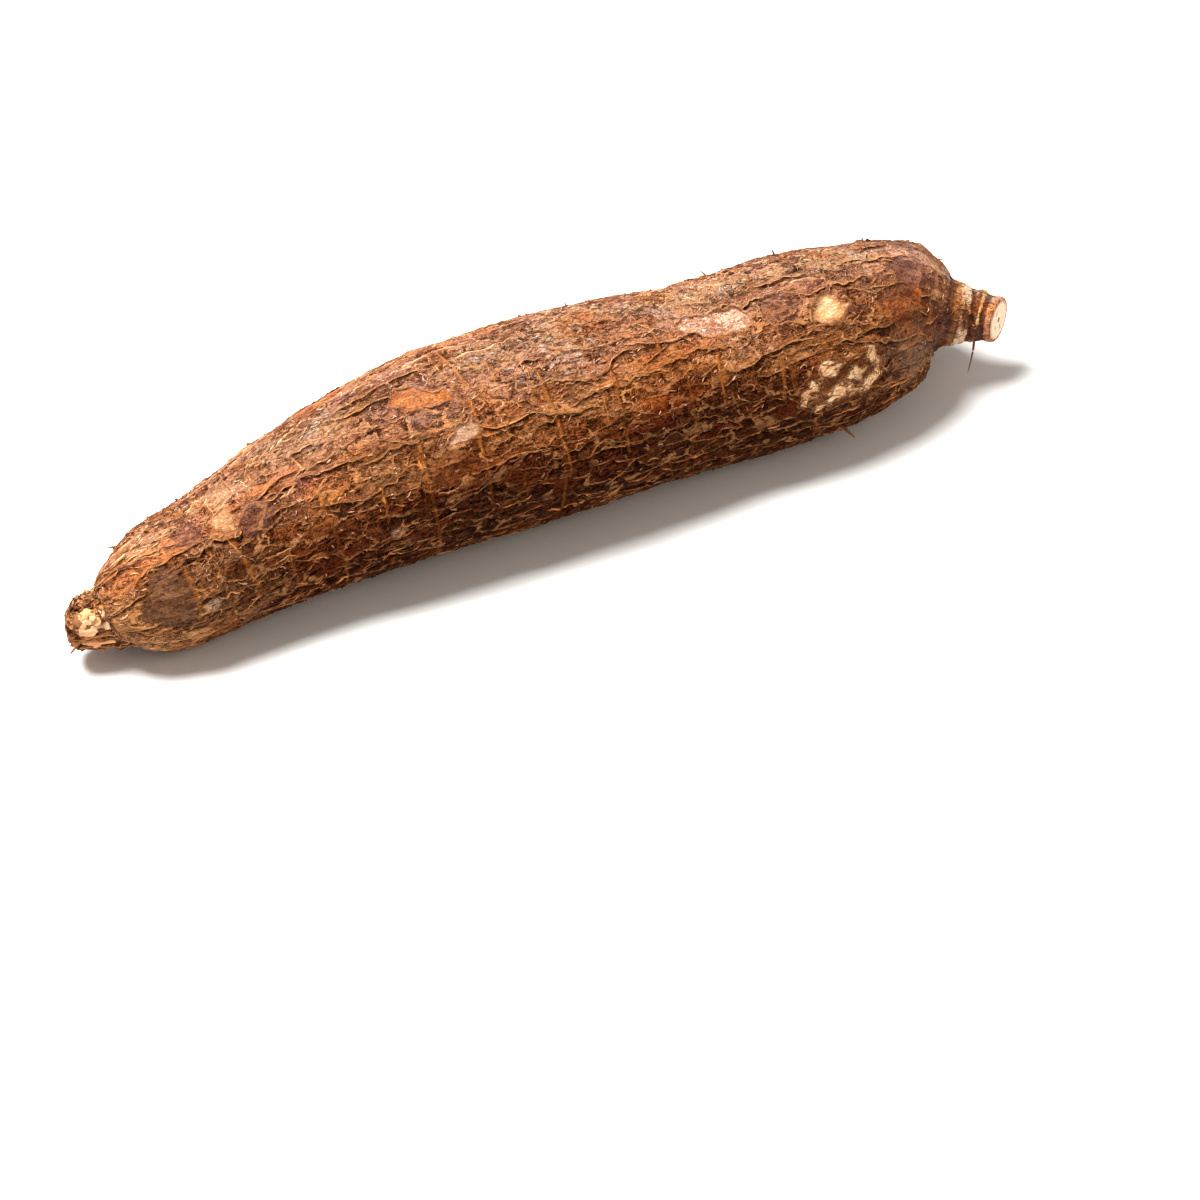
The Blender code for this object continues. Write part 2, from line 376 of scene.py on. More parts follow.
def addStrayPatches(plan, stray):
    # more of the same kinds away from the placed ones, each a wobbly ellipse
    angle = np.linspace(0, fullTurn, 9)[:-1]
    for k in range(stray["count"]):
        kind = stray["kinds"][k % len(stray["kinds"])]
        where = (0.84, 0.98) if k % 4 == 3 else (-0.06, 0.42)        # under the near side, or far
        place = float(dice.uniform(*where)) % 1.0
        size = float(dice.uniform(2.8, 7.0)) * stray["sizes"].get(kind, 1.0)
        slim = float(dice.uniform(0.4, 0.8))
        far = size * dice.uniform(0.7, 1.2, len(angle))
        outline = [(float(a), float(b)) for a, b in zip(far * np.cos(angle), far * slim * np.sin(angle))]
        dip = stray["dips"].get(kind, stray["usualDip"])
        rim = 0.0 if kind in stray["rimless"] else stray["usualRim"]
        plan.append((kind, float(dice.uniform(22, tube["length"] - 40)), place, dip, rim, outline))


def roundOutline(outline, count):
    # straight from corner to corner all the way round, then jagged by noise
    corners = np.array(outline + outline[:1], float)
    at = np.linspace(0, len(outline), count, endpoint=False)
    straight = np.stack([np.interp(at, np.arange(len(corners)), corners[:, k]) for k in range(2)], axis=-1)
    spot = np.concatenate([straight, np.full((count, 1), 3.3)], axis=1)
    jag = np.stack([cloud(spot, 3.2, 4, 401), cloud(spot, 3.2, 4, 431)], axis=-1)
    size = min(1.0, np.abs(corners).max() / 6)
    return straight + 0.9 * size * jag


def deepInside(x, y, ring):
    # how far a place lies inside a closed ring of points, mm, negative outside: the
    # nearest distance to its sides, signed by how many sides a sideways ray crosses
    nearest = np.full(x.shape, 1e9)
    inside = np.zeros(x.shape, bool)
    for (ax, ay), (bx, by) in zip(ring, np.roll(ring, -1, axis=0)):
        dx, dy = bx - ax, by - ay
        t = np.clip(((x - ax) * dx + (y - ay) * dy) / (dx * dx + dy * dy + 1e-12), 0, 1)
        nearest = np.minimum(nearest, (x - ax - t * dx) ** 2 + (y - ay - t * dy) ** 2)
        crosses = (ay > y) != (by > y)
        inside ^= crosses & (x < ax + (y - ay) * dx / (dy + (dy == 0)))
    return np.where(inside, 1, -1) * np.sqrt(nearest)


outlineSteps = 72
# the layers of the skin that hold how deep inside each kind of patch a place lies
patchLayers = {"bareA": ["orange", "wedge", "cream", "salmon"], "bareB": ["pink", "plum", "flesh", "plate"],
               "bareC": ["rust", "dark", "scar", "white"]}
patchKinds = sum(patchLayers.values(), [])
addStrayPatches(patchPlan, strayPatches)


def patchFields(s, turn):
    # for each kind the depth inside its nearest patch, and all the dips and rims together
    depth = {kind: np.full(s.shape, -6.0) for kind in patchKinds}
    relief = np.zeros(s.shape)
    for kind, along, place, dip, rim, outline in patchPlan:
        ring = roundOutline(outline, outlineSteps)
        reach = np.abs(ring).max() + 6
        girth = float(girthAt(along))
        near = (np.abs(s - along) < reach) & (np.abs(wrapTurn(turn - place)) * girth < reach)
        deep = deepInside(s[near] - along, wrapTurn(turn[near] - place) * girth, ring)
        depth[kind][near] = np.maximum(depth[kind][near], deep)
        relief[near] += (0.5 * rim * (1 - ease(-0.15, 0.3, deep)) * np.exp(np.minimum(deep, 0) / 1.2)
                         - dip * ease(-0.1, 0.45, deep))
    return depth, relief


ringPlan = {
    "places": [14, 22.5, 32, 40, 47.5, 62, 77, 93, 108.3, 127, 138, 151.3, 166, 181, 192, 205,
               219, 229, 243, 257, 270.7, 279, 288, 294],
    "groove": 0.22, "wide": 0.75,       # depth and half width of the groove at a ring, mm
    "swing": 1.4,                       # how far a ring swings along the root as it goes round, mm
    "stray": 60, "steps": 36,           # welts beside those listed, and points along each
    "welts": [   # from along (mm) and round (turns), to along and round
        (46.6, 0.588, 49.8, 0.746), (31.9, 0.603, 32.3, 0.717), (109.2, 0.596, 107.6, 0.699),
        (128.4, 0.568, 125.6, 0.674), (150.3, 0.560, 150.6, 0.640), (150.3, 0.633, 152.3, 0.746),
        (128.0, 0.455, 130.6, 0.560), (171.0, 0.560, 171.5, 0.680), (171.0, 0.690, 172.0, 0.740),
        (270.7, 0.450, 270.5, 0.520), (206.0, 0.600, 205.0, 0.700), (228.0, 0.640, 226.0, 0.730),
        (46.0, 0.440, 46.4, 0.500), (94.0, 0.650, 93.0, 0.720), (187.0, 0.520, 188.0, 0.600)],
}


def ringPlace(place, turn):
    # a ring's own place along the root, swinging gently as it goes round
    return (place + ringPlan["swing"] * np.sin(fullTurn * turn + place)
            + 0.5 * np.sin(fullTurn * 3 * turn + 2 * place))


def weltLines(plan, seed):
    # stretches of the rings that stand out: first those listed, then more on
    # every ring, all made uneven by noise
    t = np.linspace(0, 1, plan["steps"])[None, :]
    placed = np.array(plan["welts"])
    ring = np.arange(plan["stray"]) % len(plan["places"])
    place = np.array(plan["places"], float)[ring]
    start = (np.arange(len(ring)) * golden * 1.7) % 1.0
    reach = dice.uniform(3.0, 16.0, len(ring)) / girthAt(place)
    turn = start[:, None] + reach[:, None] * t
    s = np.concatenate([placed[:, :1] * (1 - t) + placed[:, 2:3] * t, ringPlace(place[:, None], turn)])
    turn = np.concatenate([placed[:, 1:2] * (1 - t) + placed[:, 3:] * t, turn])
    rows = np.arange(len(s))[:, None]
    s = s + 0.7 * wiggle(turn * 180, 6.5, seed, rows) + 0.35 * wiggle(turn * 180, 1.8, seed + 1, rows)
    return s, turn, np.where(rows[:, 0] < len(placed), 1.0, 0.5)


ringLines = weltLines(ringPlan, 201)


def ringRelief(s, turn):
    # a groove exp(-(distance / width)^2) at each ring, strong on some stretches and gone
    # on others; also the signed distance along the root to the strongest ring near by
    # (mm) and its strength
    groove = np.zeros(s.shape)
    away = np.full(s.shape, 3.0)
    power = np.zeros(s.shape)
    best = np.full(s.shape, 4.5)
    for k, place in enumerate(ringPlan["places"]):
        past = s - ringPlace(place, turn)
        strong = ease(-0.15, 0.5, np.sin(fullTurn * (1.5 * turn + 0.37 * k)) + 0.5 * np.sin(9 * turn + k))
        groove = groove + strong * np.exp(-(past / ringPlan["wide"]) ** 2)
        strong = 0.45 * strong
        takeNearest(..., best, np.abs(past) + 1.5 * (1 - strong), [(away, past), (power, strong)])
    for lineS, lineTurn, strong in zip(*ringLines):
        across = wrapTurn(tube["turn"] - lineTurn[0]) % 1.0
        columns = np.nonzero(across <= lineTurn[-1] - lineTurn[0])[0]
        share = across[columns] / (lineTurn[-1] - lineTurn[0])
        past = s[:, columns] - np.interp(share, np.linspace(0, 1, len(lineS)), lineS)
        fade = strong * np.clip(np.sin(math.pi * share), 0, 1) ** 0.35
        takeNearest((slice(None), columns), best, np.abs(past) + 1.5 * (1 - fade),
                    [(away, past), (power, fade)])
    return groove, np.clip(away, -3, 3), power


knobs = [   # along (mm), round (turns), radius, height (mm), tone; each has a small hole in it, painted near black as shade
    (31.9, 0.726, 1.9, 0.9, "b07c4c"), (35.0, 0.722, 1.7, 0.4, "d9a884"), (94.9, 0.742, 1.5, 0.9, "c99a6e"),
]


def knobMasks(s, turn):
    # for each knob, with r in its own radii, a rise exp(-r^4) and a hole exp(-(2.2 r)^2)
    for along, place, radius, tall, tone in knobs:
        r = np.hypot(s - along, wrapTurn(turn - place) * float(girthAt(along))) / radius
        yield np.exp(-r**4), np.exp(-((2.2 * r) ** 2)), tall, tone


def toneOf(text):
    # screen colour to linear light
    parts = np.array([int(text[k:k + 2], 16) for k in (0, 2, 4)]) / 255
    return np.where(parts <= 0.04045, parts / 12.92, ((parts + 0.055) / 1.055) ** 2.4)


brightest = 0.80            # red never goes above this, so that no tone is burnt out


def mixTo(color, mask, other):
    return color + mask[..., None] * (np.asarray(other) - color)


def timesZone(color, mask, zone):
    return color * (1 + mask[..., None] * (np.array(skinPaint["zones"][zone]) - 1))


skinPaint = {
    # tone by how far round from the top (turns): paler and dusty above, darker below; the dark underside is
    # partly a stain and partly painted shade
    "round": [(0.00, "b5896a"), (0.05, "ab7658"), (0.09, "9a6746"), (0.14, "845531"), (0.19, "622f14"),
              (0.24, "441705"), (0.30, "361103"), (0.50, "321407")],
    # what a zone multiplies the tone by
    "zones": {"warm": (1.12, 0.88, 0.55), "mauve": (0.70, 0.62, 0.70), "grey": (0.93, 0.98, 1.05),
              "dusty": (1.15, 1.22, 1.32), "dark": (0.50, 0.42, 0.38), "sunny": (1.50, 1.36, 1.22)},
    "pale": "8f6644",       # the tone that a pale zone is mixed towards
    # zones that noise alone places: seed, zone, strength
    "clouds": [(71, "warm", 0.6), (77, "mauve", 0.7), (83, "grey", 0.7), (89, "dark", 0.35)],
    # zone, along (mm), round (turns), half length and half width (mm), strength; the dark zones at round 0.70
    # and beyond are painted shade low on the near side
    "placed": [
        ("sunny", 18, 0.530, 18, 10, 0.8), ("sunny", 46, 0.520, 18, 8, 0.5),
        ("sunny", 120, 0.420, 42, 9, 1.0), ("sunny", 8, 0.480, 9, 14, 0.9),
        ("dusty", 120, 0.405, 34, 6, 0.6), ("sunny", 205, 0.600, 30, 9, 0.4),
        ("sunny", 14, 0.715, 18, 10, 1.0), ("warm", 21, 0.545, 13, 9, 0.2),
        ("warm", 187, 0.640, 24, 12, 0.8), ("warm", 120, 0.680, 16, 8, 0.6),
        ("warm", 150, 0.710, 30, 8, 0.6), ("warm", 268, 0.620, 18, 11, 0.35),
        ("warm", 80, 0.620, 12, 6, 0.6), ("warm", 170, 0.500, 14, 6, 0.7), ("mauve", 62, 0.590, 15, 9, 0.6),
        ("mauve", 38, 0.550, 8, 6, 0.6), ("mauve", 72, 0.530, 8, 5, 0.6), ("mauve", 164, 0.600, 14, 4, 0.5),
        ("mauve", 277, 0.570, 20, 13, 0.4), ("dark", 212, 0.400, 38, 10, 0.35),
        ("dusty", 100, 0.440, 40, 9, 0.5), ("grey", 142, 0.545, 30, 16, 0.8),
        ("grey", 96, 0.570, 20, 12, 0.9), ("grey", 205, 0.620, 18, 9, 0.9),
        ("dark", 225, 0.790, 50, 10, 0.6), ("dark", 130, 0.800, 60, 9, 0.7),
        ("pale", 16, 0.770, 40, 20, 0.8), ("grey", 24, 0.700, 22, 12, 0.5),
        ("pale", 284, 0.760, 18, 15, 0.6), ("dark", 190, 0.700, 70, 7, 0.3),
        ("pale", 263, 0.735, 30, 12, 0.5), ("pale", 16, 0.728, 18, 9, 0.55),
        ("dark", 44, 0.635, 28, 14, 0.85), ("dark", 279, 0.636, 18, 14, 0.90),
        ("dusty", 135, 0.430, 46, 10, 0.8), ("dusty", 106, 0.415, 26, 10, 0.9),
        ("dusty", 108, 0.430, 22, 12, 0.9), ("dark", 284, 0.440, 17, 14, 0.9),
        ("dark", 118, 0.715, 48, 8, 0.55), ("dark", 205, 0.712, 40, 9, 0.65),
        ("dark", 258, 0.620, 26, 9, 0.30), ("dark", 105, 0.520, 17, 8, 0.35),
        ("dark", 75, 0.470, 17, 8, 0.35), ("dark", 136, 0.475, 18, 8, 0.30),
        ("dusty", 14, 0.728, 15, 9, 0.8), ("dusty", 9, 0.470, 9, 14, 0.8), ("sunny", 38, 0.520, 22, 8, 0.40)],
}


def barkColor(s, turn):
    # the tone follows how far the place is from the top, darker below partly as painted shade, pushed about
    # by noise; zones multiply it, each a soft ellipse with a ragged edge, and more come from noise alone
    q = straightened(s, turn)
    broad = cloud(q, (28.0, 12.0, 12.0), 3, 51)
    patchy = cloud(q, (9.0, 3.6, 3.6), 3, 55)
    away = np.abs(wrapTurn(turn - 0.5)) + 0.016 * broad + 0.010 * patchy
    stops = np.array([place for place, tone in skinPaint["round"]])
    tones = np.array([toneOf(tone) for place, tone in skinPaint["round"]])
    color = np.stack([np.interp(away, stops, tones[:, k]) for k in range(3)], axis=-1)
    for zone, along, place, halfLength, halfWidth, strength in skinPaint["placed"]:
        x = (s - along) / halfLength
        y = wrapTurn(turn - place) * girthAt(along) / halfWidth
        mask = strength * (1 - ease(0.45, 1.15, np.sqrt(x * x + y * y) + 0.22 * patchy))
        if zone == "pale":
            color = mixTo(color, mask, toneOf(skinPaint["pale"]))
        else:
            color = timesZone(color, mask, zone)
    for seed, zone, strength in skinPaint["clouds"]:
        color = timesZone(color, strength * ease(0.25, 0.75, cloud(q, (19.0, 7.5, 7.5), 3, seed)), zone)
    return color


skinRelief = {
    # height (mm), size along and across (mm), octaves, seed
    "lumps": (0.45, 26.0, 2, 11),
    "folds": (0.18, (7.0, 3.0, 3.0), 3, 21),
    "wrinkles": (0.18, (4.2, 2.0, 2.0), 2, 31),
    "pebbles": (0.14, (2.6, 1.5, 1.5), 2, 41),
}


def relief(s, turn):
    # the sum of height * noise over lumps, lengthwise folds and pebbles; the wrinkles are
    # height * (1 - |noise|), sharp where the noise passes its middle
    q = straightened(s, turn)
    total = 0.0
    for kind, (height, size, octaves, seed) in skinRelief.items():
        noise = cloud(q, size, octaves, seed)
        total = total + height * (1 - np.abs(noise) if kind == "wrinkles" else noise)
    return total


stalkBands = [
    # how far back from the saw cut (mm), half width, tone, strength, from turn, to turn, swell (mm)
    (16.6, 1.3, "5a3018", 0.95, 0.0, 1.0, -0.35),
    (15.2, 0.7, "9a6434", 0.90, 0.0, 1.0, 0.10),
    (13.8, 0.4, "cf9a66", 0.95, 0.0, 1.0, 0.35),
    (12.0, 1.5, "7a4522", 0.90, 0.0, 1.0, 0.10),
    (11.8, 1.7, "f0c498", 0.95, 0.44, 0.58, 0.15),
    (12.0, 1.8, "f2c9a0", 0.95, 0.74, 0.90, 0.20),
    (9.4, 1.3, "4c2410", 0.90, 0.0, 1.0, -0.25),
    (7.0, 1.2, "6b3a1c", 0.85, 0.0, 1.0, 0.10),
    (5.4, 0.8, "d9a56c", 0.85, 0.35, 0.72, 0.30),
    (3.6, 1.1, "4a2513", 0.85, 0.0, 1.0, -0.15),
    (1.0, 1.0, "c4855c", 0.85, 0.0, 1.0, 0.20),
]


def stalkBandMasks(s, turn):
    # each band is a soft-edged stretch along the stalk, ragged by noise, on part of its girth
    back = tube["length"] - s
    rough = cloud(straightened(s, turn), (1.8, 1.1, 1.1), 3, 91)
    for place, half, tone, strength, fromTurn, toTurn, swell in stalkBands:
        mask = ease(-0.18, 0.18, half * (1 + 0.2 * rough) - np.abs(back - place - 0.3 * rough))
        if toTurn - fromTurn < 1:
            reach = (toTurn - fromTurn) / 2
            mask = mask * ease(-0.02, 0.02, reach - np.abs(wrapTurn(turn - fromTurn - reach)) + 0.02 * rough)
        yield mask, tone, strength, swell


def paintTip(color, s, turn):
    # warm bark towards the tip, then a ragged pale and dark broken end
    rough = cloud(straightened(s, turn), (2.4, 1.6, 1.6), 3, 97)
    color = mixTo(color, 0.8 * (1 - ease(9.0, 12.0, s + rough)), toneOf("845030"))
    color = mixTo(color, 0.7 * ease(0.1, 0.4, rough) * (1 - ease(7.5, 10.0, s)), toneOf("bb8355"))
    color = mixTo(color, ease(0.2, 0.45, -rough) * (1 - ease(6.0, 9.0, s)), toneOf("3a1c0c"))
    return color


# every point of the skin: place along and round, then all that shapes and colours it
sGrid, turnGrid = np.meshgrid(tube["s"], tube["turn"], indexing="ij")
edgeHeight, edgeTint, edgeAway, edgePower = edgeRelief()
patchDepth, patchRelief = patchFields(sGrid, turnGrid)
bare = np.zeros_like(sGrid)
for kind in patchKinds:
    if kind != "white":
        bare = np.maximum(bare, ease(-0.1, 0.5, patchDepth[kind]))
# the smooth shoulder near the stalk, and the stalk
calm = 0.75 * ease(252, 270, sGrid) * (1 - ease(0.20, 0.26, np.abs(wrapTurn(turnGrid - 0.53))))
calm = np.maximum(calm, ease(tube["length"] - 23, tube["length"] - 18, sGrid))
ringGroove, ringAway, ringPower = ringRelief(sGrid, turnGrid)
bodyFade = ease(0.0, 9.0, sGrid) * (1 - ease(tube["length"] - 24, tube["length"] - 18, sGrid))
skinHeight = relief(sGrid, turnGrid) * (0.45 + 0.55 * bodyFade) * (1 - 0.6 * bare) * (1 - 0.45 * calm)
skinHeight += edgeHeight * (0.25 + 0.75 * bodyFade) * (1 - 0.85 * bare) * (1 - 0.5 * calm)
skinHeight += (patchRelief - ringPlan["groove"] * ringGroove) * bodyFade
skinHeight -= 0.5                                          # the outline stays that of the plain root
skinColor = barkColor(sGrid, turnGrid)
skinColor = skinColor * (1 + (edgeTint * (1 - 0.5 * calm))[..., None] * np.array([0.46, 0.54, 0.60]))
skinColor = paintTip(skinColor, sGrid, turnGrid)
for mask, tone, strength, swell in stalkBandMasks(sGrid, turnGrid):
    skinColor = mixTo(skinColor, mask * strength, toneOf(tone))
    skinHeight += mask * swell
for rise, hole, tall, tone in knobMasks(sGrid, turnGrid):
    skinHeight += tall * (rise - 1.1 * hole)
    # the hole painted near black: painted shade
    skinColor = mixTo(mixTo(skinColor, rise, toneOf(tone)), hole, toneOf("2c1408"))
skinPoints = tube["points"] + skinHeight[..., None] * tube["normals"]
skinPoints[..., 2] = np.maximum(skinPoints[..., 2], 0.0)
edgePower, ringPower = edgePower * (1 - bare), ringPower * (1 - bare) * bodyFade
print("relief from", round(float(skinHeight.min()), 2), "to", round(float(skinHeight.max()), 2), "mm")


def gridFaces(rows, columns):
    # quads between neighbouring rings, closed round the last column
    i = np.arange(rows - 1)[:, None] * columns
    j = np.arange(columns)[None, :]
    k = (j + 1) % columns
    return np.stack([i + j, i + k, i + columns + k, i + columns + j], axis=-1).reshape(-1, 4)


def stripFaces(count, steps, corners):
    # the side quads of so many strips of points, and the two faces that close each
    first = (np.arange(count) * steps * corners)[:, None]
    ends = first + np.arange(corners)
    ends = np.stack([ends[:, ::-1], ends + (steps - 1) * corners], axis=1)
    return gridFaces(steps, corners) + first[..., None], ends


def outwards(points, faceSets):
    # faces turned over when the first set winds inwards, seen from the middle of the points
    a, b, c = (points[faceSets[0][:, k]] for k in range(3))
    inward = (np.cross(b - a, c - a) * (a - points.mean(axis=0))).sum() < 0
    return [faces[:, ::-1] for faces in faceSets] if inward else faceSets


def withFourth(color, fourth=1.0):
    # a colour and one more value, as a colour layer holds them
    fourth = np.broadcast_to(np.asarray(fourth)[..., None], color.shape[:-1] + (1,))
    return np.concatenate([color, fourth], axis=-1)


def addPiece(name, points, faceSets, material, attributes):
    # one mesh from a point array in mm and arrays of faces of equal size each
    mesh = bpy.data.meshes.new(name)
    points = np.array(points, np.float64).reshape(-1, 3)
    points[:, 2] = np.maximum(points[:, 2], 0.0)
    loops = np.concatenate([faces.ravel() for faces in faceSets]).astype(np.int32)
    sizes = np.concatenate([np.full(len(faces), faces.shape[1]) for faces in faceSets]).astype(np.int32)
    starts = np.concatenate([[0], np.cumsum(sizes)[:-1]]).astype(np.int32)
    mesh.vertices.add(len(points))
    mesh.vertices.foreach_set("co", (points * unit).astype(np.float32).ravel())
    mesh.loops.add(len(loops))
    mesh.loops.foreach_set("vertex_index", loops)
    mesh.polygons.add(len(sizes))
    mesh.polygons.foreach_set("loop_start", starts)
    mesh.polygons.foreach_set("loop_total", sizes)
    mesh.update(calc_edges=True)
    mesh.validate()
    for key, values in attributes.items():
        kind, field = ("FLOAT_VECTOR", "vector") if np.shape(values)[-1] == 3 else ("FLOAT_COLOR", "color")
        layer = mesh.attributes.new(key, kind, "POINT")
        layer.data.foreach_set(field, np.asarray(values, np.float32).ravel())
    mesh.shade_smooth()
    mesh.materials.append(material)
    piece = bpy.data.objects.new(name, mesh)
    bpy.context.scene.collection.objects.link(piece)
    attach(piece, "root")
    print(name, int((sizes - 2).sum()), "triangles")
    return piece


def addNode(tree, kind, settings, **inputs):
    made = tree.nodes.new(kind)
    for key, value in settings.items():
        setattr(made, key, value)
    for key, value in inputs.items():
        numbered = key[0] == "i" and key[1:].isdigit()
        socket = made.inputs[int(key[1:])] if numbered else made.inputs[key.replace("_", " ")]
        if isinstance(value, bpy.types.NodeSocket):
            tree.links.new(value, socket)
        else:
            socket.default_value = value
    return made


def calc(tree, operation, a, b=0.0, c=0.0, clamp=False):
    settings = {"operation": operation, "use_clamp": clamp}
    return addNode(tree, "ShaderNodeMath", settings, i0=a, i1=b, i2=c).outputs[0]


def vectorCalc(tree, operation, a, b=(0, 0, 0), c=(0, 0, 0)):
    return addNode(tree, "ShaderNodeVectorMath", {"operation": operation}, i0=a, i1=b, i2=c).outputs[0]


def span(tree, value, low, high, toLow=0.0, toHigh=1.0):
    # low..high stretched onto toLow..toHigh and held inside it, with soft ends
    return addNode(tree, "ShaderNodeMapRange", {"interpolation_type": "SMOOTHSTEP"},
                   i0=value, i1=low, i2=high, i3=toLow, i4=toHigh).outputs[0]


def blend(tree, mask, a, b, mode="MIX"):
    settings = {"data_type": "RGBA", "blend_type": mode}
    return addNode(tree, "ShaderNodeMix", settings, i0=mask, i6=a, i7=b).outputs[2]


def paint(text):
    return (*toneOf(text), 1.0)


def painted(tree, key):
    return addNode(tree, "ShaderNodeAttribute", {"attribute_name": key}).outputs


def noiseOf(tree, vector, stretch, detail=3.0, rough=0.55):
    # noise on the straightened root, so many features to the cm along and across
    scaled = vectorCalc(tree, "MULTIPLY", vector, stretch)
    made = addNode(tree, "ShaderNodeTexNoise", {}, Vector=scaled, Scale=1.0, Detail=detail, Roughness=rough)
    return made.outputs["Fac"], made.outputs["Color"]


def split(tree, color):
    return addNode(tree, "ShaderNodeSeparateColor", {}, Color=color).outputs


def platesOf(tree, vector, stretch):
    # cells as overlapping bark plates: a tint for each, the nearness of its edge, and
    # how far below its middle a place lies, which tells the free lower edge from the
    # tucked-in upper one
    scaled = vectorCalc(tree, "MULTIPLY", vector, stretch)
    cell, edge = (addNode(tree, "ShaderNodeTexVoronoi", {"feature": feature}, Vector=scaled,
                          Scale=1.0).outputs for feature in ("F1", "DISTANCE_TO_EDGE"))
    below = vectorCalc(tree, "SUBTRACT", scaled, cell["Position"])
    below = addNode(tree, "ShaderNodeSeparateXYZ", {}, Vector=below).outputs["Y"]
    return split(tree, cell["Color"]), edge[0], below


def makeGrainGroup():
    # the grain of dry bark: fibres, mottling, specks, and a warp that makes lines ragged
    tree = bpy.data.node_groups.new("barkGrain", "ShaderNodeTree")
    for key, kind in (("Fibres", "Float"), ("Mottle", "Float"), ("Specks", "Float"), ("Warped", "Vector")):
        tree.interface.new_socket(key, in_out="OUTPUT", socket_type="NodeSocket" + kind)
    out = tree.nodes.new("NodeGroupOutput")
    straight = painted(tree, "straight")["Vector"]
    for key, along, across, detail, rough in [
            ("Fibres", 14.0, 20.0, 5.0, 0.66),
            ("Mottle", 4.6, 6.6, 5.0, 0.68),
            ("Specks", 13.0, 26.0, 2.0, 0.5)]:
        value = noiseOf(tree, straight, (along, across, across), detail, rough)[0]
        tree.links.new(value, out.inputs[key])
    wide = noiseOf(tree, straight, (1.6, 3.0, 3.0), 2.0)[1]
    wide = vectorCalc(tree, "MULTIPLY_ADD", wide, (0.60, 0.30, 0.30), (-0.30, -0.15, -0.15))
    fine = noiseOf(tree, straight, (9.0, 14.0, 14.0), 3.0, 0.6)[1]
    fine = vectorCalc(tree, "MULTIPLY_ADD", fine, (0.20, 0.12, 0.12), (-0.10, -0.06, -0.06))
    warped = vectorCalc(tree, "ADD", vectorCalc(tree, "ADD", straight, wide), fine)
    tree.links.new(warped, out.inputs["Warped"])
    return tree


grainGroup = makeGrainGroup()


def grainSockets(tree):
    return addNode(tree, "ShaderNodeGroup", {"node_tree": grainGroup}).outputs


def product(tree, first, *others):
    for other in others:
        first = calc(tree, "MULTIPLY", first, other)
    return first


def tinted(tree, color, amount, factor):
    return blend(tree, amount, color, factor, "MULTIPLY")


def overlay(tree, color, mask, strength, tone):
    # the tone laid over the colour where the mask times the strength, held to 0..1, says
    return blend(tree, calc(tree, "MULTIPLY", mask, strength, clamp=True), color, tone)


def perChannel(tree, value, green, blue):
    # one value as a factor for a colour, raised to powers of its own in green and blue
    return addNode(tree, "ShaderNodeCombineColor", {}, Red=value, Green=calc(tree, "POWER", value, green),
                   Blue=calc(tree, "POWER", value, blue)).outputs[0]


plateSizes = {
    # plates to the cm along and across, where the lip and the gap fade out from the edge,
    # how soft the change is at the plate's middle
    "big": {"stretch": (0.90, 1.75, 1.75), "lip": (0.045, 0.09), "gap": (0.04, 0.14), "soft": 0.05},
    "small": {"stretch": (3.0, 5.4, 5.4), "lip": (0.08, 0.22), "gap": (0.08, 0.28), "soft": 0.1},
}


def flakingPlates(tree, warped, size, present):
    # plates of one size: their tints, how far below its middle a place lies, and the pale lip,
    # partly painted highlight, and the painted shadow of the gap along their edges, where they are present
    tints, edge, below = platesOf(tree, warped, size["stretch"])
    soft = size["soft"]
    lip = product(tree, span(tree, edge, *size["lip"], 1.0, 0.0), span(tree, below, -soft, soft), present)
    gap = product(tree, span(tree, edge, *size["gap"], 1.0, 0.0), span(tree, below, -soft, soft, 1.0, 0.0),
                  present)
    return {"tints": tints, "below": below, "lip": lip, "gap": gap, "present": present}


def creases(tree, warped, stretch, detail):
    # creased paper: 1 on the lines where a noise passes its middle, less away from them
    value = noiseOf(tree, warped, stretch, detail, 0.55)[0]
    return calc(tree, "SUBTRACT", 1.0, calc(tree, "ABSOLUTE", calc(tree, "MULTIPLY_ADD", value, 2.0, -1.0)))


def barkValues(tree):
    # what the bark's colour and height are mixed from: the painted fields, the grain,
    # plates of two sizes, creases, islands, and the strings that show near the top
    v = types.SimpleNamespace(**{key.lower(): socket for key, socket in grainSockets(tree).items()})
    v.straight = painted(tree, "straight")["Vector"]
    skin, marks = painted(tree, "paint"), painted(tree, "marks")
    v.base, v.ringPower = skin["Color"], skin["Alpha"]
    v.away, v.power, v.ringAway = split(tree, marks["Color"])
    v.calm = marks["Alpha"]
    v.lively = span(tree, v.calm, 0.0, 1.0, 1.0, 0.15)
    v.patches = {}
    for key, kinds in patchLayers.items():
        layer = painted(tree, key)
        v.patches.update(zip(kinds, [*split(tree, layer["Color"]), layer["Alpha"]]))
    clumps = noiseOf(tree, v.straight, (1.1, 2.2, 2.2), 3.0)[0]
    v.clumps = split(tree, noiseOf(tree, v.straight, (1.7, 2.9, 2.9), 2.0)[1])
    bigOn = product(tree, span(tree, clumps, 0.38, 0.54, 0.15, 1.0), v.lively)
    smallOn = product(tree, span(tree, v.clumps[0], 0.40, 0.54, 0.15, 1.0), v.lively)
    v.big = flakingPlates(tree, v.warped, plateSizes["big"], bigOn)
    v.small = flakingPlates(tree, v.warped, plateSizes["small"], smallOn)
    v.coarse = creases(tree, v.warped, (4.2, 7.0, 7.0), 3.0)
    v.fine = creases(tree, v.warped, (9.5, 15.0, 15.0), 2.0)
    v.islands = noiseOf(tree, v.warped, (2.0, 3.3, 3.3), 4.0, 0.6)[0]
    around = vectorCalc(tree, "NORMALIZE", vectorCalc(tree, "MULTIPLY", v.straight, (0, 1, 1)))
    around = addNode(tree, "ShaderNodeSeparateXYZ", {}, Vector=around).outputs["Y"]       # -1 at the very top
    v.topmost = product(tree, span(tree, around, -0.93, -0.72, 1.0, 0.0), v.lively)
    v.stringy = noiseOf(tree, v.warped, (1.5, 15.0, 15.0), 3.0, 0.6)[0]
    return v


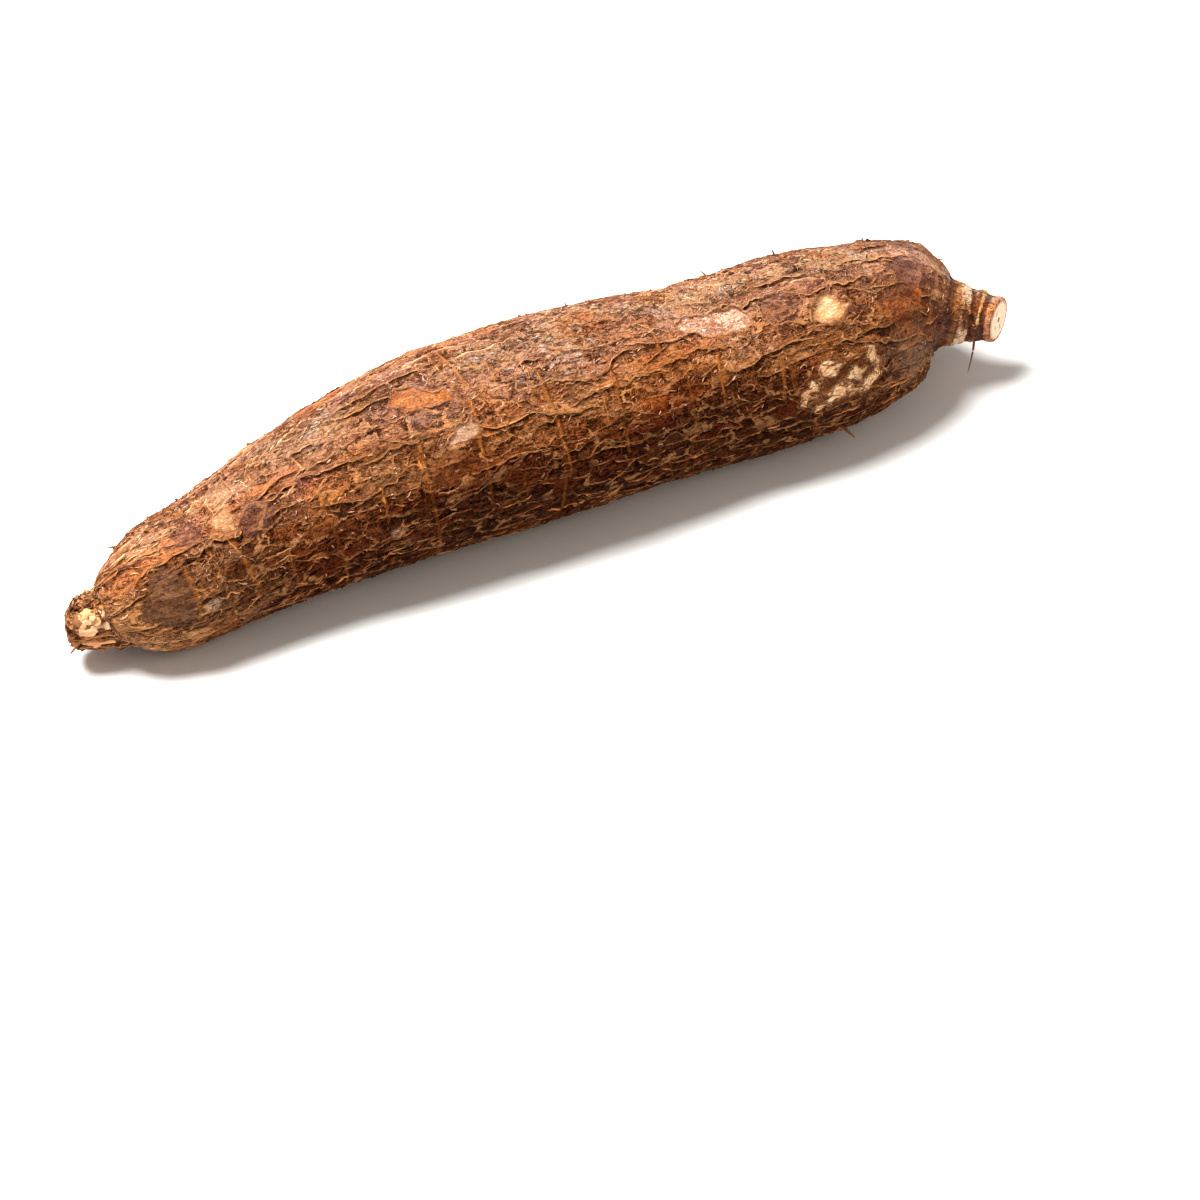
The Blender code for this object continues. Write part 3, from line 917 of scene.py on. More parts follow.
def plateColor(tree, v):
    # the painted tone, tinted plate by plate, shaded by creases and fibres, with dark pits of painted
    # shade, pale lips partly painted highlight, gaps of painted shadow, strings, threads, flecks and
    # dots; then its contrast against the painted tone is raised and its red held down
    base, big, small = v.base, v.big, v.small
    color = tinted(tree, base, 1.0, (0.84, 0.88, 0.99, 1))
    for source, low, high, atLow, atHigh, factor in [
            (big["tints"][0], 0.50, 0.56, 0.0, 0.85, (0.47, 0.36, 0.32, 1)),
            (big["tints"][1], 0.62, 0.68, 0.0, 0.80, (1.35, 1.02, 0.62, 1)),
            (big["tints"][2], 0.60, 0.66, 0.0, 0.85, (1.62, 1.62, 1.56, 1)),
            (small["tints"][0], 0.60, 0.68, 0.0, 0.35, (0.62, 0.54, 0.50, 1)),
            (small["tints"][1], 0.70, 0.76, 0.0, 0.35, (1.45, 1.38, 1.25, 1)),
            (v.islands, 0.36, 0.43, 0.62, 0.0, (0.50, 0.38, 0.32, 1)),
            (v.islands, 0.58, 0.64, 0.0, 0.50, (1.55, 1.52, 1.45, 1))]:
        color = tinted(tree, color, span(tree, source, low, high, atLow, atHigh), factor)
    shade = product(tree, span(tree, v.coarse, 0.62, 1.0, 0.58, 1.42),
                    span(tree, v.fine, 0.66, 1.0, 0.68, 1.28), span(tree, v.fibres, 0.28, 0.74, 0.78, 1.28))
    v.shade = perChannel(tree, shade, 1.22, 1.50)
    color = tinted(tree, color, 1.0, v.shade)

    lit = tinted(tree, base, 1.0, (2.1, 1.85, 1.60, 1))
    bright = blend(tree, 0.44, lit, paint("e4a468"))
    v.dim = blend(tree, 0.10, tinted(tree, base, 1.0, (2.1, 1.80, 1.55, 1)), paint("d4935c"))
    # near-black red-brown: the tone of painted shadow in gaps, pits and past edges, and of dark dots
    v.dark = tinted(tree, base, 1.0, (0.20, 0.11, 0.06, 1))
    sandy = blend(tree, 0.5, tinted(tree, base, 1.0, (1.35, 1.30, 1.30, 1)), paint("d6a27c"))
    # dark pits where fibres and mottle are both low: painted shade
    pits = span(tree, product(tree, v.fibres, v.mottle), 0.12, 0.17, 0.85, 0.0)
    color = blend(tree, pits, color, v.dark)
    # painted shadow in the gaps at the plates' tucked-in upper edges; pale lips at their free lower edges,
    # partly painted highlight
    color = overlay(tree, color, big["gap"], 0.85, v.dark)
    color = overlay(tree, color, small["gap"], 0.65, v.dark)
    color = overlay(tree, color, small["lip"], 0.72, v.dim)
    color = overlay(tree, color, big["lip"], 0.95, bright)
    color = overlay(tree, color, span(tree, v.stringy, 0.34, 0.43, 0.70, 0.0), v.topmost, v.dark)
    color = overlay(tree, color, span(tree, v.stringy, 0.56, 0.66, 0.0, 0.40), v.topmost, sandy)
    threads = product(tree, span(tree, v.coarse, 0.955, 0.99), span(tree, v.clumps[1], 0.42, 0.58),
                      v.lively)
    color = overlay(tree, color, threads, 0.90, v.dim)
    color = overlay(tree, color, span(tree, v.specks, 0.62, 0.68, 0.0, 0.7), v.lively, v.dim)
    dots = span(tree, v.specks, 0.32, 0.37, 0.75, 0.0)
    color = overlay(tree, color, dots, span(tree, v.clumps[2], 0.40, 0.60), v.dark)

    change = calc(tree, "DIVIDE", *(addNode(tree, "ShaderNodeRGBToBW", {}, Color=tone).outputs[0]
                                    for tone in (color, base)))
    change = calc(tree, "POWER", calc(tree, "MINIMUM", change, 2.2), 0.31)
    color = tinted(tree, color, 1.0, perChannel(tree, change, 1.10, 1.25))
    red = calc(tree, "MAXIMUM", split(tree, color)[0], 0.01)
    return tinted(tree, color, 1.0, calc(tree, "MINIMUM", calc(tree, "DIVIDE", brightest, red), 1.0))


patchLooks = {
    # two tones in blotches, streaks, the tone near the outline; how strong, how strong the
    # torn rim, how far in the outline's tone reaches (mm), how much the creases show
    "dark": ("5a2a10", "8a4c1e", "2e1408", "5a2a10", 0.80, 0.0, 1.8, 0.55),
    "plate": ("5a3824", "6d4830", "3e2619", "5a3824", 0.80, 0.0, 0.8, 0.80),
    "plum": ("54322a", "6d463a", "3c2520", "54322a", 0.50, 0.0, 1.8, 0.55),
    "rust": ("5f2c14", "74391a", "431c0c", "5f2c14", 0.35, 0.0, 1.8, 0.55),
    "orange": ("b4642c", "c27a44", "8a523c", "a0562a", 1.0, 0.3, 1.8, 0.55),
    "wedge": ("b88a6c", "cc9e7c", "a87a5a", "b08060", 1.0, 0.3, 1.0, 0.30),
    "salmon": ("c48654", "d49c6c", "a87044", "b4764a", 0.90, 0.5, 1.8, 0.55),
    "cream": ("c8926a", "d8a880", "a87048", "b88258", 0.55, 0.2, 1.8, 0.55),
    "pink": ("c88662", "eec4a4", "84492c", "b4744e", 1.0, 0.5, 1.2, 0.70),
    "scar": ("f2b880", "ffdcb0", "d49050", "b8682c", 1.0, 0.3, 0.8, 0.25),
    "flesh": ("f6c486", "ffdeae", "ecaa66", "a85218", 1.0, 0.1, 3.2, 0.20),
}


def addPatches(tree, v, color):
    # bare patches lie where the painted depth plus a ragged noise is above zero; a scar is
    # also cut up by the edges of small flakes; white scuffs are spots of mottling
    ragged = calc(tree, "ADD", calc(tree, "MULTIPLY_ADD", v.fibres, 1.6, -0.8),
                  calc(tree, "MULTIPLY_ADD", v.mottle, 3.6, -1.8))
    flakeEdge = platesOf(tree, v.warped, (1.9, 3.2, 3.2))[1]
    flakes = calc(tree, "MULTIPLY_ADD", flakeEdge, 14.0, -0.25)
    v.patches["scar"] = calc(tree, "MINIMUM", v.patches["scar"], flakes)
    blotch = span(tree, v.mottle, 0.38, 0.60)
    v.smooth = 0.0
    for kind, (first, second, streak, edging, strength, torn, reach, creased) in patchLooks.items():
        deep = calc(tree, "ADD", v.patches[kind], ragged)
        mask = span(tree, deep, 0.0, 0.18, 0.0, strength)
        inner = blend(tree, blotch, paint(first), paint(second))
        inner = blend(tree, span(tree, v.fibres, 0.36, 0.60, 0.50, 0.0), inner, paint(streak))
        inner = blend(tree, span(tree, v.islands, 0.38, 0.50, 0.60, 0.0), inner, paint(streak))
        inner = blend(tree, span(tree, deep, 0.0, reach, 0.75, 0.0), inner, paint(edging))
        inner = tinted(tree, inner, creased, v.shade)
        if torn > 0:
            rim = product(tree, span(tree, deep, -0.5, -0.1), span(tree, deep, 0.0, 0.12, 1.0, 0.0))
            color = overlay(tree, color, rim, torn, paint("dcb280"))
        v.smooth = calc(tree, "MAXIMUM", v.smooth, mask)
        color = blend(tree, mask, color, inner)
    spots = calc(tree, "ADD", v.mottle, calc(tree, "MULTIPLY", v.fibres, 0.3))
    scuffed = span(tree, calc(tree, "ADD", v.patches["white"], ragged), -2.5, 4.0)
    return overlay(tree, color, product(tree, scuffed, span(tree, spots, 0.68, 0.80)), 0.75, paint("ecd2bc"))


def addEdgesAndRings(tree, v, color):
    # by the signed distance to the nearest bark edge: paler bark behind it, partly wear and partly painted
    # highlight,
    # the bright lip on it, partly painted highlight, and the painted shadow past it; by the distance to the
    # nearest ring:
    # a dark line of painted shade beside a rusty one
    power = product(tree, v.power, span(tree, v.mottle, 0.34, 0.60, 0.45, 1.15))
    near = calc(tree, "ADD", v.away, calc(tree, "MULTIPLY_ADD", v.fibres, 0.5, -0.25))
    lipTone = blend(tree, 0.55, tinted(tree, v.base, 1.0, (2.3, 2.0, 1.75, 1)), paint("ecae70"))
    # behind the edge paler, partly wear and partly painted highlight; past it painted shadow; on the lip a
    # pale tone, partly painted highlight
    wearAndHighlight = product(tree, span(tree, near, -2.4, -0.2), span(tree, near, -0.05, 0.08, 1.0, 0.0), power)
    shadow = product(tree, span(tree, near, -0.05, 0.12), span(tree, near, 0.40, 1.80, 1.0, 0.0), power)
    lip = product(tree, span(tree, near, -0.38, -0.15), span(tree, near, -0.05, 0.08, 1.0, 0.0), power)
    color = overlay(tree, color, wearAndHighlight, 0.45, v.dim)
    color = overlay(tree, color, shadow, 0.95, v.dark)
    color = overlay(tree, color, lip, 1.15, lipTone)
    ledge = product(tree, span(tree, near, -1.3, -0.12), span(tree, near, -0.08, 0.10, 1.0, 0.0))
    v.ledge = product(tree, ledge, power)

    near = calc(tree, "ADD", v.ringAway, calc(tree, "MULTIPLY_ADD", v.fibres, 1.6, -0.8))
    power = product(tree, v.ringPower, span(tree, v.mottle, 0.36, 0.56, 0.35, 1.1))
    # a dark line beside the ring's rusty welt: painted shade
    beside = product(tree, span(tree, near, 0.30, 0.60), span(tree, near, 0.70, 1.50, 1.0, 0.0), power)
    color = overlay(tree, color, beside, 0.60, v.dark)
    band = span(tree, calc(tree, "ABSOLUTE", near), 0.28, 0.80, 1.0, 0.0)
    v.ring = calc(tree, "MULTIPLY", band, power, clamp=True)
    ringTone = blend(tree, 0.50, tinted(tree, v.base, 1.0, (1.9, 1.45, 1.05, 1)), paint("c47634"))
    return overlay(tree, color, v.ring, 0.85, ringTone)


def barkHeight(tree, v):
    # creases and fibres, islands, strings, plates that rise towards their lips, and the
    # ledges and rings; flatter where the bark is gone
    big, small = v.big, v.small
    height = calc(tree, "ADD", span(tree, v.coarse, 0.66, 1.0, 0.0, 0.55),
                  span(tree, v.fine, 0.70, 1.0, 0.0, 0.28))
    height = calc(tree, "MULTIPLY", calc(tree, "MULTIPLY_ADD", v.fibres, 0.5, height), v.lively)
    height = calc(tree, "ADD", height, span(tree, v.islands, 0.40, 0.60, 0.0, 0.35))
    height = calc(tree, "MULTIPLY_ADD", product(tree, v.stringy, v.topmost), 0.7, height)
    height = calc(tree, "ADD", height, product(tree, big["below"], 0.70, big["present"]))
    height = calc(tree, "ADD", height, product(tree, small["below"], 0.40, small["present"]))
    height = calc(tree, "MULTIPLY_ADD", calc(tree, "ADD", big["lip"], small["lip"]), 0.20, height)
    height = calc(tree, "MULTIPLY_ADD", calc(tree, "ADD", big["gap"], small["gap"]), -0.30, height)
    height = calc(tree, "MULTIPLY", height, calc(tree, "MULTIPLY_ADD", v.smooth, -0.60, 1.0))
    height = calc(tree, "MULTIPLY_ADD", v.ledge, 0.36, height)
    return calc(tree, "MULTIPLY_ADD", v.ring, 0.16, height)


def makeBarkGroup():
    # the papery bark: its colour, roughness, bump height and the faint sheen of bare wood and
    # of the smooth shoulder
    tree = bpy.data.node_groups.new("barkSurface", "ShaderNodeTree")
    for key, kind in (("Color", "Color"), ("Roughness", "Float"), ("Height", "Float"), ("Sheen", "Float")):
        tree.interface.new_socket(key, in_out="OUTPUT", socket_type="NodeSocket" + kind)
    out = tree.nodes.new("NodeGroupOutput")
    v = barkValues(tree)
    color = addEdgesAndRings(tree, v, addPatches(tree, v, plateColor(tree, v)))
    rough = span(tree, v.fibres, 0.3, 0.7, 0.60, 0.86)
    rough = calc(tree, "MULTIPLY_ADD", v.smooth, -0.14, rough)
    rough = calc(tree, "MULTIPLY_ADD", v.calm, -0.12, rough)
    sheen = calc(tree, "MAXIMUM", product(tree, v.smooth, 0.06), product(tree, v.calm, 0.16))
    for value, socket in zip((color, rough, barkHeight(tree, v), sheen), out.inputs):
        tree.links.new(value, socket)
    return tree


barkGroup = makeBarkGroup()


barkGloss = {"Coat Roughness": 0.38, "Specular IOR Level": 0.03, "Specular Tint": (0.9, 0.55, 0.35, 1.0)}
barkBump = 0.0012           # how deep the finest relief of the bark looks, m


def makeBark():
    material = bpy.data.materials.new("barkSkin")
    material.use_nodes = True
    tree = material.node_tree
    shader = tree.nodes["Principled BSDF"]
    surface = addNode(tree, "ShaderNodeGroup", {"node_tree": barkGroup}).outputs
    bump = addNode(tree, "ShaderNodeBump", {}, Strength=1.0, Distance=barkBump, Height=surface["Height"])
    for key, socket in (("Color", "Base Color"), ("Roughness", "Roughness"), ("Sheen", "Coat Weight")):
        tree.links.new(surface[key], shader.inputs[socket])
    tree.links.new(bump.outputs[0], shader.inputs["Normal"])
    for key, value in barkGloss.items():
        shader.inputs[key].default_value = value
    return material


flakyLooks = {
    # how strong the grain is, depth of its bumps (m), least roughness, specular
    "tornBark": (0.34, 0.0004, 0.66, 0.04),
    "rootlet": (0.30, 0.0002, 0.60, 0.10),
    "cutWood": (0.12, 0.0002, 0.50, 0.18),
}


def makeFlaky(name, contrast, distance, gloss, specular):
    # painted tone with the bark's own grain over it, for torn edges, roots and cut wood
    material = bpy.data.materials.new(name)
    material.use_nodes = True
    tree = material.node_tree
    shader = tree.nodes["Principled BSDF"]
    grain = grainSockets(tree)
    fibres, mottle = grain["Fibres"], grain["Mottle"]
    shade = product(tree, span(tree, fibres, 0.3, 0.7, 1 - contrast, 1 + contrast),
                    span(tree, mottle, 0.3, 0.7, 1 - 0.7 * contrast, 1 + 0.7 * contrast))
    tree.links.new(tinted(tree, painted(tree, "paint")["Color"], 1.0, shade), shader.inputs["Base Color"])
    tree.links.new(span(tree, mottle, 0.3, 0.7, gloss, gloss + 0.2), shader.inputs["Roughness"])
    bump = addNode(tree, "ShaderNodeBump", {}, Strength=1.0, Distance=distance, Height=fibres)
    tree.links.new(bump.outputs[0], shader.inputs["Normal"])
    shader.inputs["Specular IOR Level"].default_value = specular
    return material


barkMaterial = makeBark()
tornMaterial, rootletMaterial, woodMaterial = (makeFlaky(name, *look) for name, look in flakyLooks.items())
print("materials made")


def makeSkin():
    # the body's rings, then at each end rings that shrink to a pole: a ragged low dome
    # at the tip, and a flat face in the plane of the saw cut
    shape = rootShape
    tipShare = np.linspace(1, 0, shape["tipRings"] + 1)[1:, None]
    sawShare = np.linspace(1, 0, shape["sawRings"] + 1)[1:, None]
    tipMiddle = skinPoints[0].mean(axis=0)
    angle = fullTurn * turnGrid[:1]
    spot = tipShare[..., None] * np.stack([5 + 0 * angle, 4 * np.cos(angle), 4 * np.sin(angle)], axis=-1)
    rough = cloud(spot, 1.6, 3, 5)
    dome = shape["tipDome"] * (1 - tipShare**2) + 2.0 * rough * tipShare * (1 - tipShare)
    tipCap = tipMiddle + (skinPoints[0] - tipMiddle) * tipShare[..., None]
    tipCap = tipCap - dome[..., None] * tube["ahead"][0]
    sawMiddle = skinPoints[-1].mean(axis=0)
    sawCap = sawMiddle + (skinPoints[-1] - sawMiddle) * sawShare[..., None]
    points = np.concatenate([tipCap[::-1], skinPoints, sawCap])
    before, after = len(tipCap), len(sawCap)

    def spread(field):
        ends = np.repeat(field[:1], before, axis=0), np.repeat(field[-1:], after, axis=0)
        return np.concatenate([ends[0], field, ends[1]])

    s, turn, color = spread(sGrid), spread(turnGrid), spread(skinColor)
    s[:before] = -6 * (1 - tipShare[::-1])
    color[:before] = mixTo(color[:before], ease(-0.1, 0.3, rough[::-1]), toneOf("b08055"))
    color[:before] = mixTo(color[:before], ease(0.1, 0.5, -rough[::-1]), toneOf("3c1e0e"))
    attributes = {"straight": straightened(s, turn) / 10, "paint": withFourth(color, spread(ringPower))}
    layers = {"marks": [edgeAway, edgePower, ringAway, calm]}
    layers.update({key: [patchDepth[kind] for kind in kinds] for key, kinds in patchLayers.items()})
    for key, fields in layers.items():
        attributes[key] = np.stack([spread(field) for field in fields], axis=-1)
    faces = gridFaces(len(points), shape["round"])
    piece = addPiece("barkSkin", points, [faces], barkMaterial, attributes)
    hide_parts("cassava_root")


makeSkin()


def ribbonMesh(s, turn, side, section, color, sunk=0.9):
    # each line of the skin carries a closed section: section holds for every step its
    # corners as (across towards the free side, out from the skin) in mm; the two ends
    # are closed by one face each, and lines that face the other way are turned over;
    # where the bark is gone a ribbon sinks out of sight
    count, steps, corners = section.shape[:3]
    base = sample(skinPoints, s, turn)
    up = unitVectors(sample(tube["normals"], s, turn))
    ahead = unitVectors(np.gradient(base, axis=1))
    across = unitVectors(np.cross(ahead, up))
    section = section.copy()
    section[..., 0] *= side[:, None, None]
    section[..., 1] -= sunk * ease(0.2, 0.8, sample(bare, s, turn))[:, :, None]
    points = base[:, :, None] + section[..., :1] * across[:, :, None] + section[..., 1:] * up[:, :, None]
    shift = section[..., 0] / girthAt(s)[:, :, None]
    straight = straightened(np.repeat(s[:, :, None], corners, axis=2), turn[:, :, None] + shift) / 10
    flip = side < 0
    faceSets = stripFaces(count, steps, corners)
    for faces in faceSets:
        faces[flip] = faces[flip][:, :, ::-1]
    color = color * np.minimum(1, brightest / np.maximum(color[..., :1], 0.01))       # red held down
    return points, *faceSets, straight, color


def addStrips(name, sets, material=tornMaterial):
    # several sets of strips with the same number of corners become one piece; each set is
    # its points, quads, end faces, places for the grain and tones
    gathered = [[], [], [], [], []]
    offset = 0
    for made in sets:
        for k, (part, width) in enumerate(zip(made, (3, 4, made[2].shape[-1], 3, 3))):
            gathered[k].append(part.reshape(-1, width) + (offset if k in (1, 2) else 0))
        offset += len(gathered[0][-1])
    points, quads, ends, straight, color = (np.concatenate(parts) for parts in gathered)
    attributes = {"straight": straight, "paint": withFourth(color)}
    addPiece(name, points, outwards(points, [quads, ends]), material, attributes)


def sectionOf(across, out):
    # a strip's corners as (across, out) pairs for every step; a plain number holds for all
    parts = np.broadcast_arrays(*across, *out)
    return np.stack([np.stack(parts[:len(across)], axis=-1), np.stack(parts[len(across):], axis=-1)], axis=-1)


edgeRibbon = {
    "width": (0.25, 0.60), "lift": (0.16, 0.50), "overhang": (0.12, 0.55), "thick": 0.12,
    "gold": "e09c5e", "pale": "efc290", "brown": "6e3f1e",
    "lowShadeCut": (0.0, 0.30, 0.58),       # how much of red, green and blue is lost low down: painted shade, darker and redder
}


def lipRibbons(lines, seed, size=1.0, brighter=1.0):
    # a torn bark lip along each line: its back is buried, its free edge is lifted and
    # hangs over by amounts that wander along it, and it thins out at both ends
    plan = edgeRibbon
    s, turn, side = lines["s"], lines["turn"], lines["side"]
    count, steps = s.shape
    rows = np.arange(count)[:, None]
    t = np.linspace(0, 1, steps)[None, :]
    fade = np.clip(np.sin(math.pi * t), 0, 1) ** 0.45
    wide = size * dice.uniform(*plan["width"], (count, 1)) * fade + 0.05
    curl = 0.40 + 0.75 * wiggle(s, 4.2, seed, rows) + 0.65 * wiggle(s, 1.3, seed + 1, rows)
    curl = np.clip(curl, 0.0, 1.4)
    lift = size * dice.uniform(*plan["lift"], (count, 1)) * fade * (0.10 + 0.95 * curl)
    over = size * dice.uniform(*plan["overhang"], (count, 1)) * fade * curl
    thick = plan["thick"] * (0.5 + 0.5 * fade) * min(1.0, size)
    section = sectionOf([-wide, -0.45 * wide, over, over * 0.85, -0.35 * wide],
                        [-0.15, 0.35 * lift - 0.02, lift, lift - thick, -0.30])
    local = sample(skinColor, s, turn)
    gold = brighter * toneOf(plan["gold"]) * (0.42 + 0.95 * dice.random((count, 1, 1)) ** 1.4)
    # low on the root the lip's tones are darkened and reddened: painted shade
    low = ease(0.15, 0.27, np.abs(wrapTurn(turn - 0.5)))[..., None]
    gold = gold * (1 - low * np.array(plan["lowShadeCut"]))
    pale = toneOf(plan["pale"]) * (1 - 0.6 * low * np.array(plan["lowShadeCut"]))
    gold = mixTo(gold, np.clip(1.3 * wiggle(s, 3.3, seed + 2, rows), 0, 1), pale)
    free = 1.15 * gold + 0.60 * np.minimum(2.1 * local, 0.6)
    free = local + (free - local) * np.clip(0.15 + 1.2 * curl, 0, 1)[..., None]
    # the free edge pale, partly its own tone and partly painted highlight; the underside and the buried foot
    # dark: painted shade
    under = 0.2 * toneOf(plan["brown"]) + 0.2 * local
    color = np.stack([local, 0.9 * local + 0.1 * free, free, under, 0.2 * local], axis=2)
    return ribbonMesh(s, turn, side, section, color)


addStrips("barkLips", [lipRibbons(edgeSets[0], 101, 1.40, 1.25), lipRibbons(edgeSets[1], 111),
                       lipRibbons(edgeSets[2], 121)])
addStrips("barkTatters", [lipRibbons(edgeSets[3], 131, 0.75)])


weltRibbon = {
    # half width and height, mm, and how far noise moves them
    "half": (0.16, 0.50), "tall": (0.02, 0.20),
    # its tone, how much of the bark's own is added, from the darkest welt to the brightest
    "gold": "c47c38", "goldShare": 0.44, "own": (1.05, 0.90, 0.70), "shades": (0.6, 1.15),
}


def ringRibbons(plan, seed):
    # the stretches of the growth rings that stand up as low broken welts
    s, turn = ringLines[:2]
    (half, halfMoves), (tall, tallMoves) = plan["half"], plan["tall"]
    count, steps = s.shape
    rows = np.arange(count)[:, None]
    fade = np.clip(np.sin(math.pi * np.linspace(0, 1, steps)), 0, 1)[None, :] ** 0.5
    half = np.clip(half + halfMoves * wiggle(turn * 180, 2.2, seed + 2, rows), 0.0, 1) * fade + 0.02
    tall = np.clip(tall + tallMoves * wiggle(turn * 180, 1.6, seed + 3, rows), -0.05, 1) * fade
    section = sectionOf([-half, -0.6 * half, 0.1 * half, 0.7 * half, half],
                        [-0.25, tall, tall * 1.4, tall * 0.9, -0.25])
    local = sample(skinColor, s, turn)
    tone = plan["goldShare"] * toneOf(plan["gold"]) + local * np.array(plan["own"])
    uneven = 1 + 0.6 * wiggle(turn * 180, 1.3, seed + 4, rows)
    tone = tone * dice.uniform(*plan["shades"], (count, 1, 1)) * uneven[..., None]
    # the welt's crest a little brighter and its buried feet darker: painted highlight and shade
    color = np.stack([0.6 * local, tone, 1.15 * tone, tone, 0.6 * local], axis=2)
    return ribbonMesh(s, turn, np.ones(count), section, color)


addStrips("growthWelts", [ringRibbons(weltRibbon, 201)])


rimRibbon = {"wide": 0.45, "thick": 0.15, "gold": "cf8f54", "goldShare": 0.45}         # mm


def patchRims(plan):
    # the torn bark round each bare patch stands up and leans in over it
    sets = []
    wide = plan["wide"]
    for k, (kind, along, place, dip, rim, outline) in enumerate(patchPlan):
        if rim <= 0:
            continue
        ring = roundOutline(outline, outlineSteps)
        ring = np.concatenate([ring, ring[:3]])
        s = np.clip(along + ring[:, 0], 1.0, tube["length"] - 4)[None]
        turn = (place + ring[:, 1] / float(girthAt(along)))[None]
        rows = np.array([[k]])
        far = np.cumsum(np.concatenate([[0], np.linalg.norm(np.diff(ring, axis=0), axis=1)]))[None]
        curl = np.clip(0.30 + 0.9 * wiggle(far, 4.0, 301, rows) + 0.5 * wiggle(far, 1.2, 302, rows), 0.0, 1.3)
        lift = rim * (0.05 + 0.8 * curl)
        over = 1.3 * rim * curl
        section = sectionOf([-wide, -0.5 * wide, over, 0.85 * over, -0.3 * wide],
                            [-0.3, 0.4 * lift, lift, lift - plan["thick"], -0.5])
        area = 0.5 * float((ring[:-1, 0] * ring[1:, 1] - ring[1:, 0] * ring[:-1, 1]).sum())
        local = sample(skinColor, s, turn)
        free = plan["goldShare"] * toneOf(plan["gold"]) * (0.3 + 0.8 * curl[..., None])
        free = free + 0.40 * np.minimum(2.2 * local, 0.8)
        free = local + (free - local) * np.clip(2 * curl, 0, 1)[..., None]
        # the free edge brighter where it curls, partly painted highlight; the underside and the buried foot
        # dark: painted shade
        color = np.stack([local, local, free, 0.4 * local, 0.3 * local], axis=2)
        sets.append(ribbonMesh(s, turn, np.array([-np.sign(area)]), section, color, 0.0))
    return sets


addStrips("patchRims", patchRims(rimRibbon))


body = (6, tube["length"] - 6)
flakes = {
    # how many, length, half width and lift (mm), how mixed their headings are (radians),
    # from and to along (mm)
    "crumbs": (5000, (0.9, 3.6), (0.08, 0.26), (0.06, 0.32), 0.6, body),
    "scales": (4300, (1.0, 3.0), (0.08, 0.24), (0.08, 0.34), 1.5, body),
    "tags": (520, (1.2, 4.0), (0.20, 0.46), (0.35, 0.95), 0.6, body),
    "tipFlakes": (110, (1.5, 3.6), (0.30, 0.70), (0.3, 1.2), 0.9, (0.6, 8.5)),
}
# a flake whose random pick is below the first share is pale, and above the second dark
flakeLook = {"pale": "f0cba6", "paleShare": 0.75, "pick": (0.55, 0.80)}


def flakeRibbons(kind, seed):
    # small curled flakes, closer together where noise and the scuffs say so, and few on
    # bare patches, on the smooth shoulder and low down
    most, lengths, halves, lifts, mixed, reach = flakes[kind]
    tries = most * 3
    s = dice.uniform(*reach, tries)
    turn = dice.random(tries)
    keep = 0.35 + 0.65 * ease(-0.1, 0.6, cloud(straightened(s, turn), (14.0, 7.0, 7.0), 2, seed))
    keep = keep * (1 - 0.85 * sample(bare, s, turn)) * (1 - 0.6 * sample(calm, s, turn))
    keep = keep * (1 - 0.60 * ease(0.14, 0.24, np.abs(wrapTurn(turn - 0.5))))
    keep = keep + 0.6 * ease(-1, 4, sample(patchDepth["white"], s, turn))
    chosen = np.nonzero(dice.random(tries) < keep)[0][:most]
    s, turn = s[chosen], turn[chosen]
    count = len(s)
    fade = np.array([0.15, 0.85, 1.0, 0.8, 0.15])[None, :]
    steps = fade.size
    length = dice.uniform(*lengths, count) * dice.uniform(0.5, 1.0, count)
    heading = mixed * dice.standard_normal(count)
    bend = dice.uniform(-0.6, 0.6, count)
    t = np.linspace(-0.5, 0.5, steps)[None, :]
    way = heading[:, None] + bend[:, None] * 2 * t
    s = s[:, None] + length[:, None] * t * np.cos(way)
    turn = turn[:, None] + length[:, None] * t * np.sin(way) / girthAt(s)
    half = dice.uniform(*halves, (count, 1)) * fade * dice.uniform(0.35, 1.35, (count, steps))
    lift = dice.uniform(*lifts, (count, 1)) * (0.3 + 0.7 * fade) * dice.uniform(0.5, 1.3, (count, steps))
    section = sectionOf([-half, 0.2 * half, half, 0.0], [-0.05, 0.6 * lift + 0.05, lift, -0.15])
    local = sample(skinColor, s, turn)
    pick = dice.random((count, 1, 1))
    # low on the root the pale flakes are darkened and reddened: painted shade
    low = ease(0.15, 0.27, np.abs(wrapTurn(turn - 0.5)))[..., None]
    bright = flakeLook["paleShare"] * toneOf(flakeLook["pale"]) * (1 - low * np.array(edgeRibbon["lowShadeCut"]))
    bright = bright * dice.random((count, 1, 1)) ** 2.6
    bright = bright * (0.25 if halves[1] > 0.3 else 1.0) + np.minimum(1.6 * local, 0.5)
    pale, plain = (pick < share for share in flakeLook["pick"])
    tone = np.where(pale, bright, np.where(plain, 1.3 * local, 0.40 * local))
    # pale flakes partly painted highlight; the lifted free edge a little brighter and the buried underside
    # darker: painted highlight and shade
    color = np.stack([0.8 * local, tone, 1.1 * tone, 0.5 * local], axis=2)
    side = np.where(turn[:, 2] % 1.0 > 0.5, 1.0, -1.0)
    return ribbonMesh(s, turn, side, section, color)


addStrips("barkCrumbs", [flakeRibbons("crumbs", 501)])
addStrips("barkScales", [flakeRibbons("scales", 507), flakeRibbons("tags", 511),
                         flakeRibbons("tipFlakes", 521)])


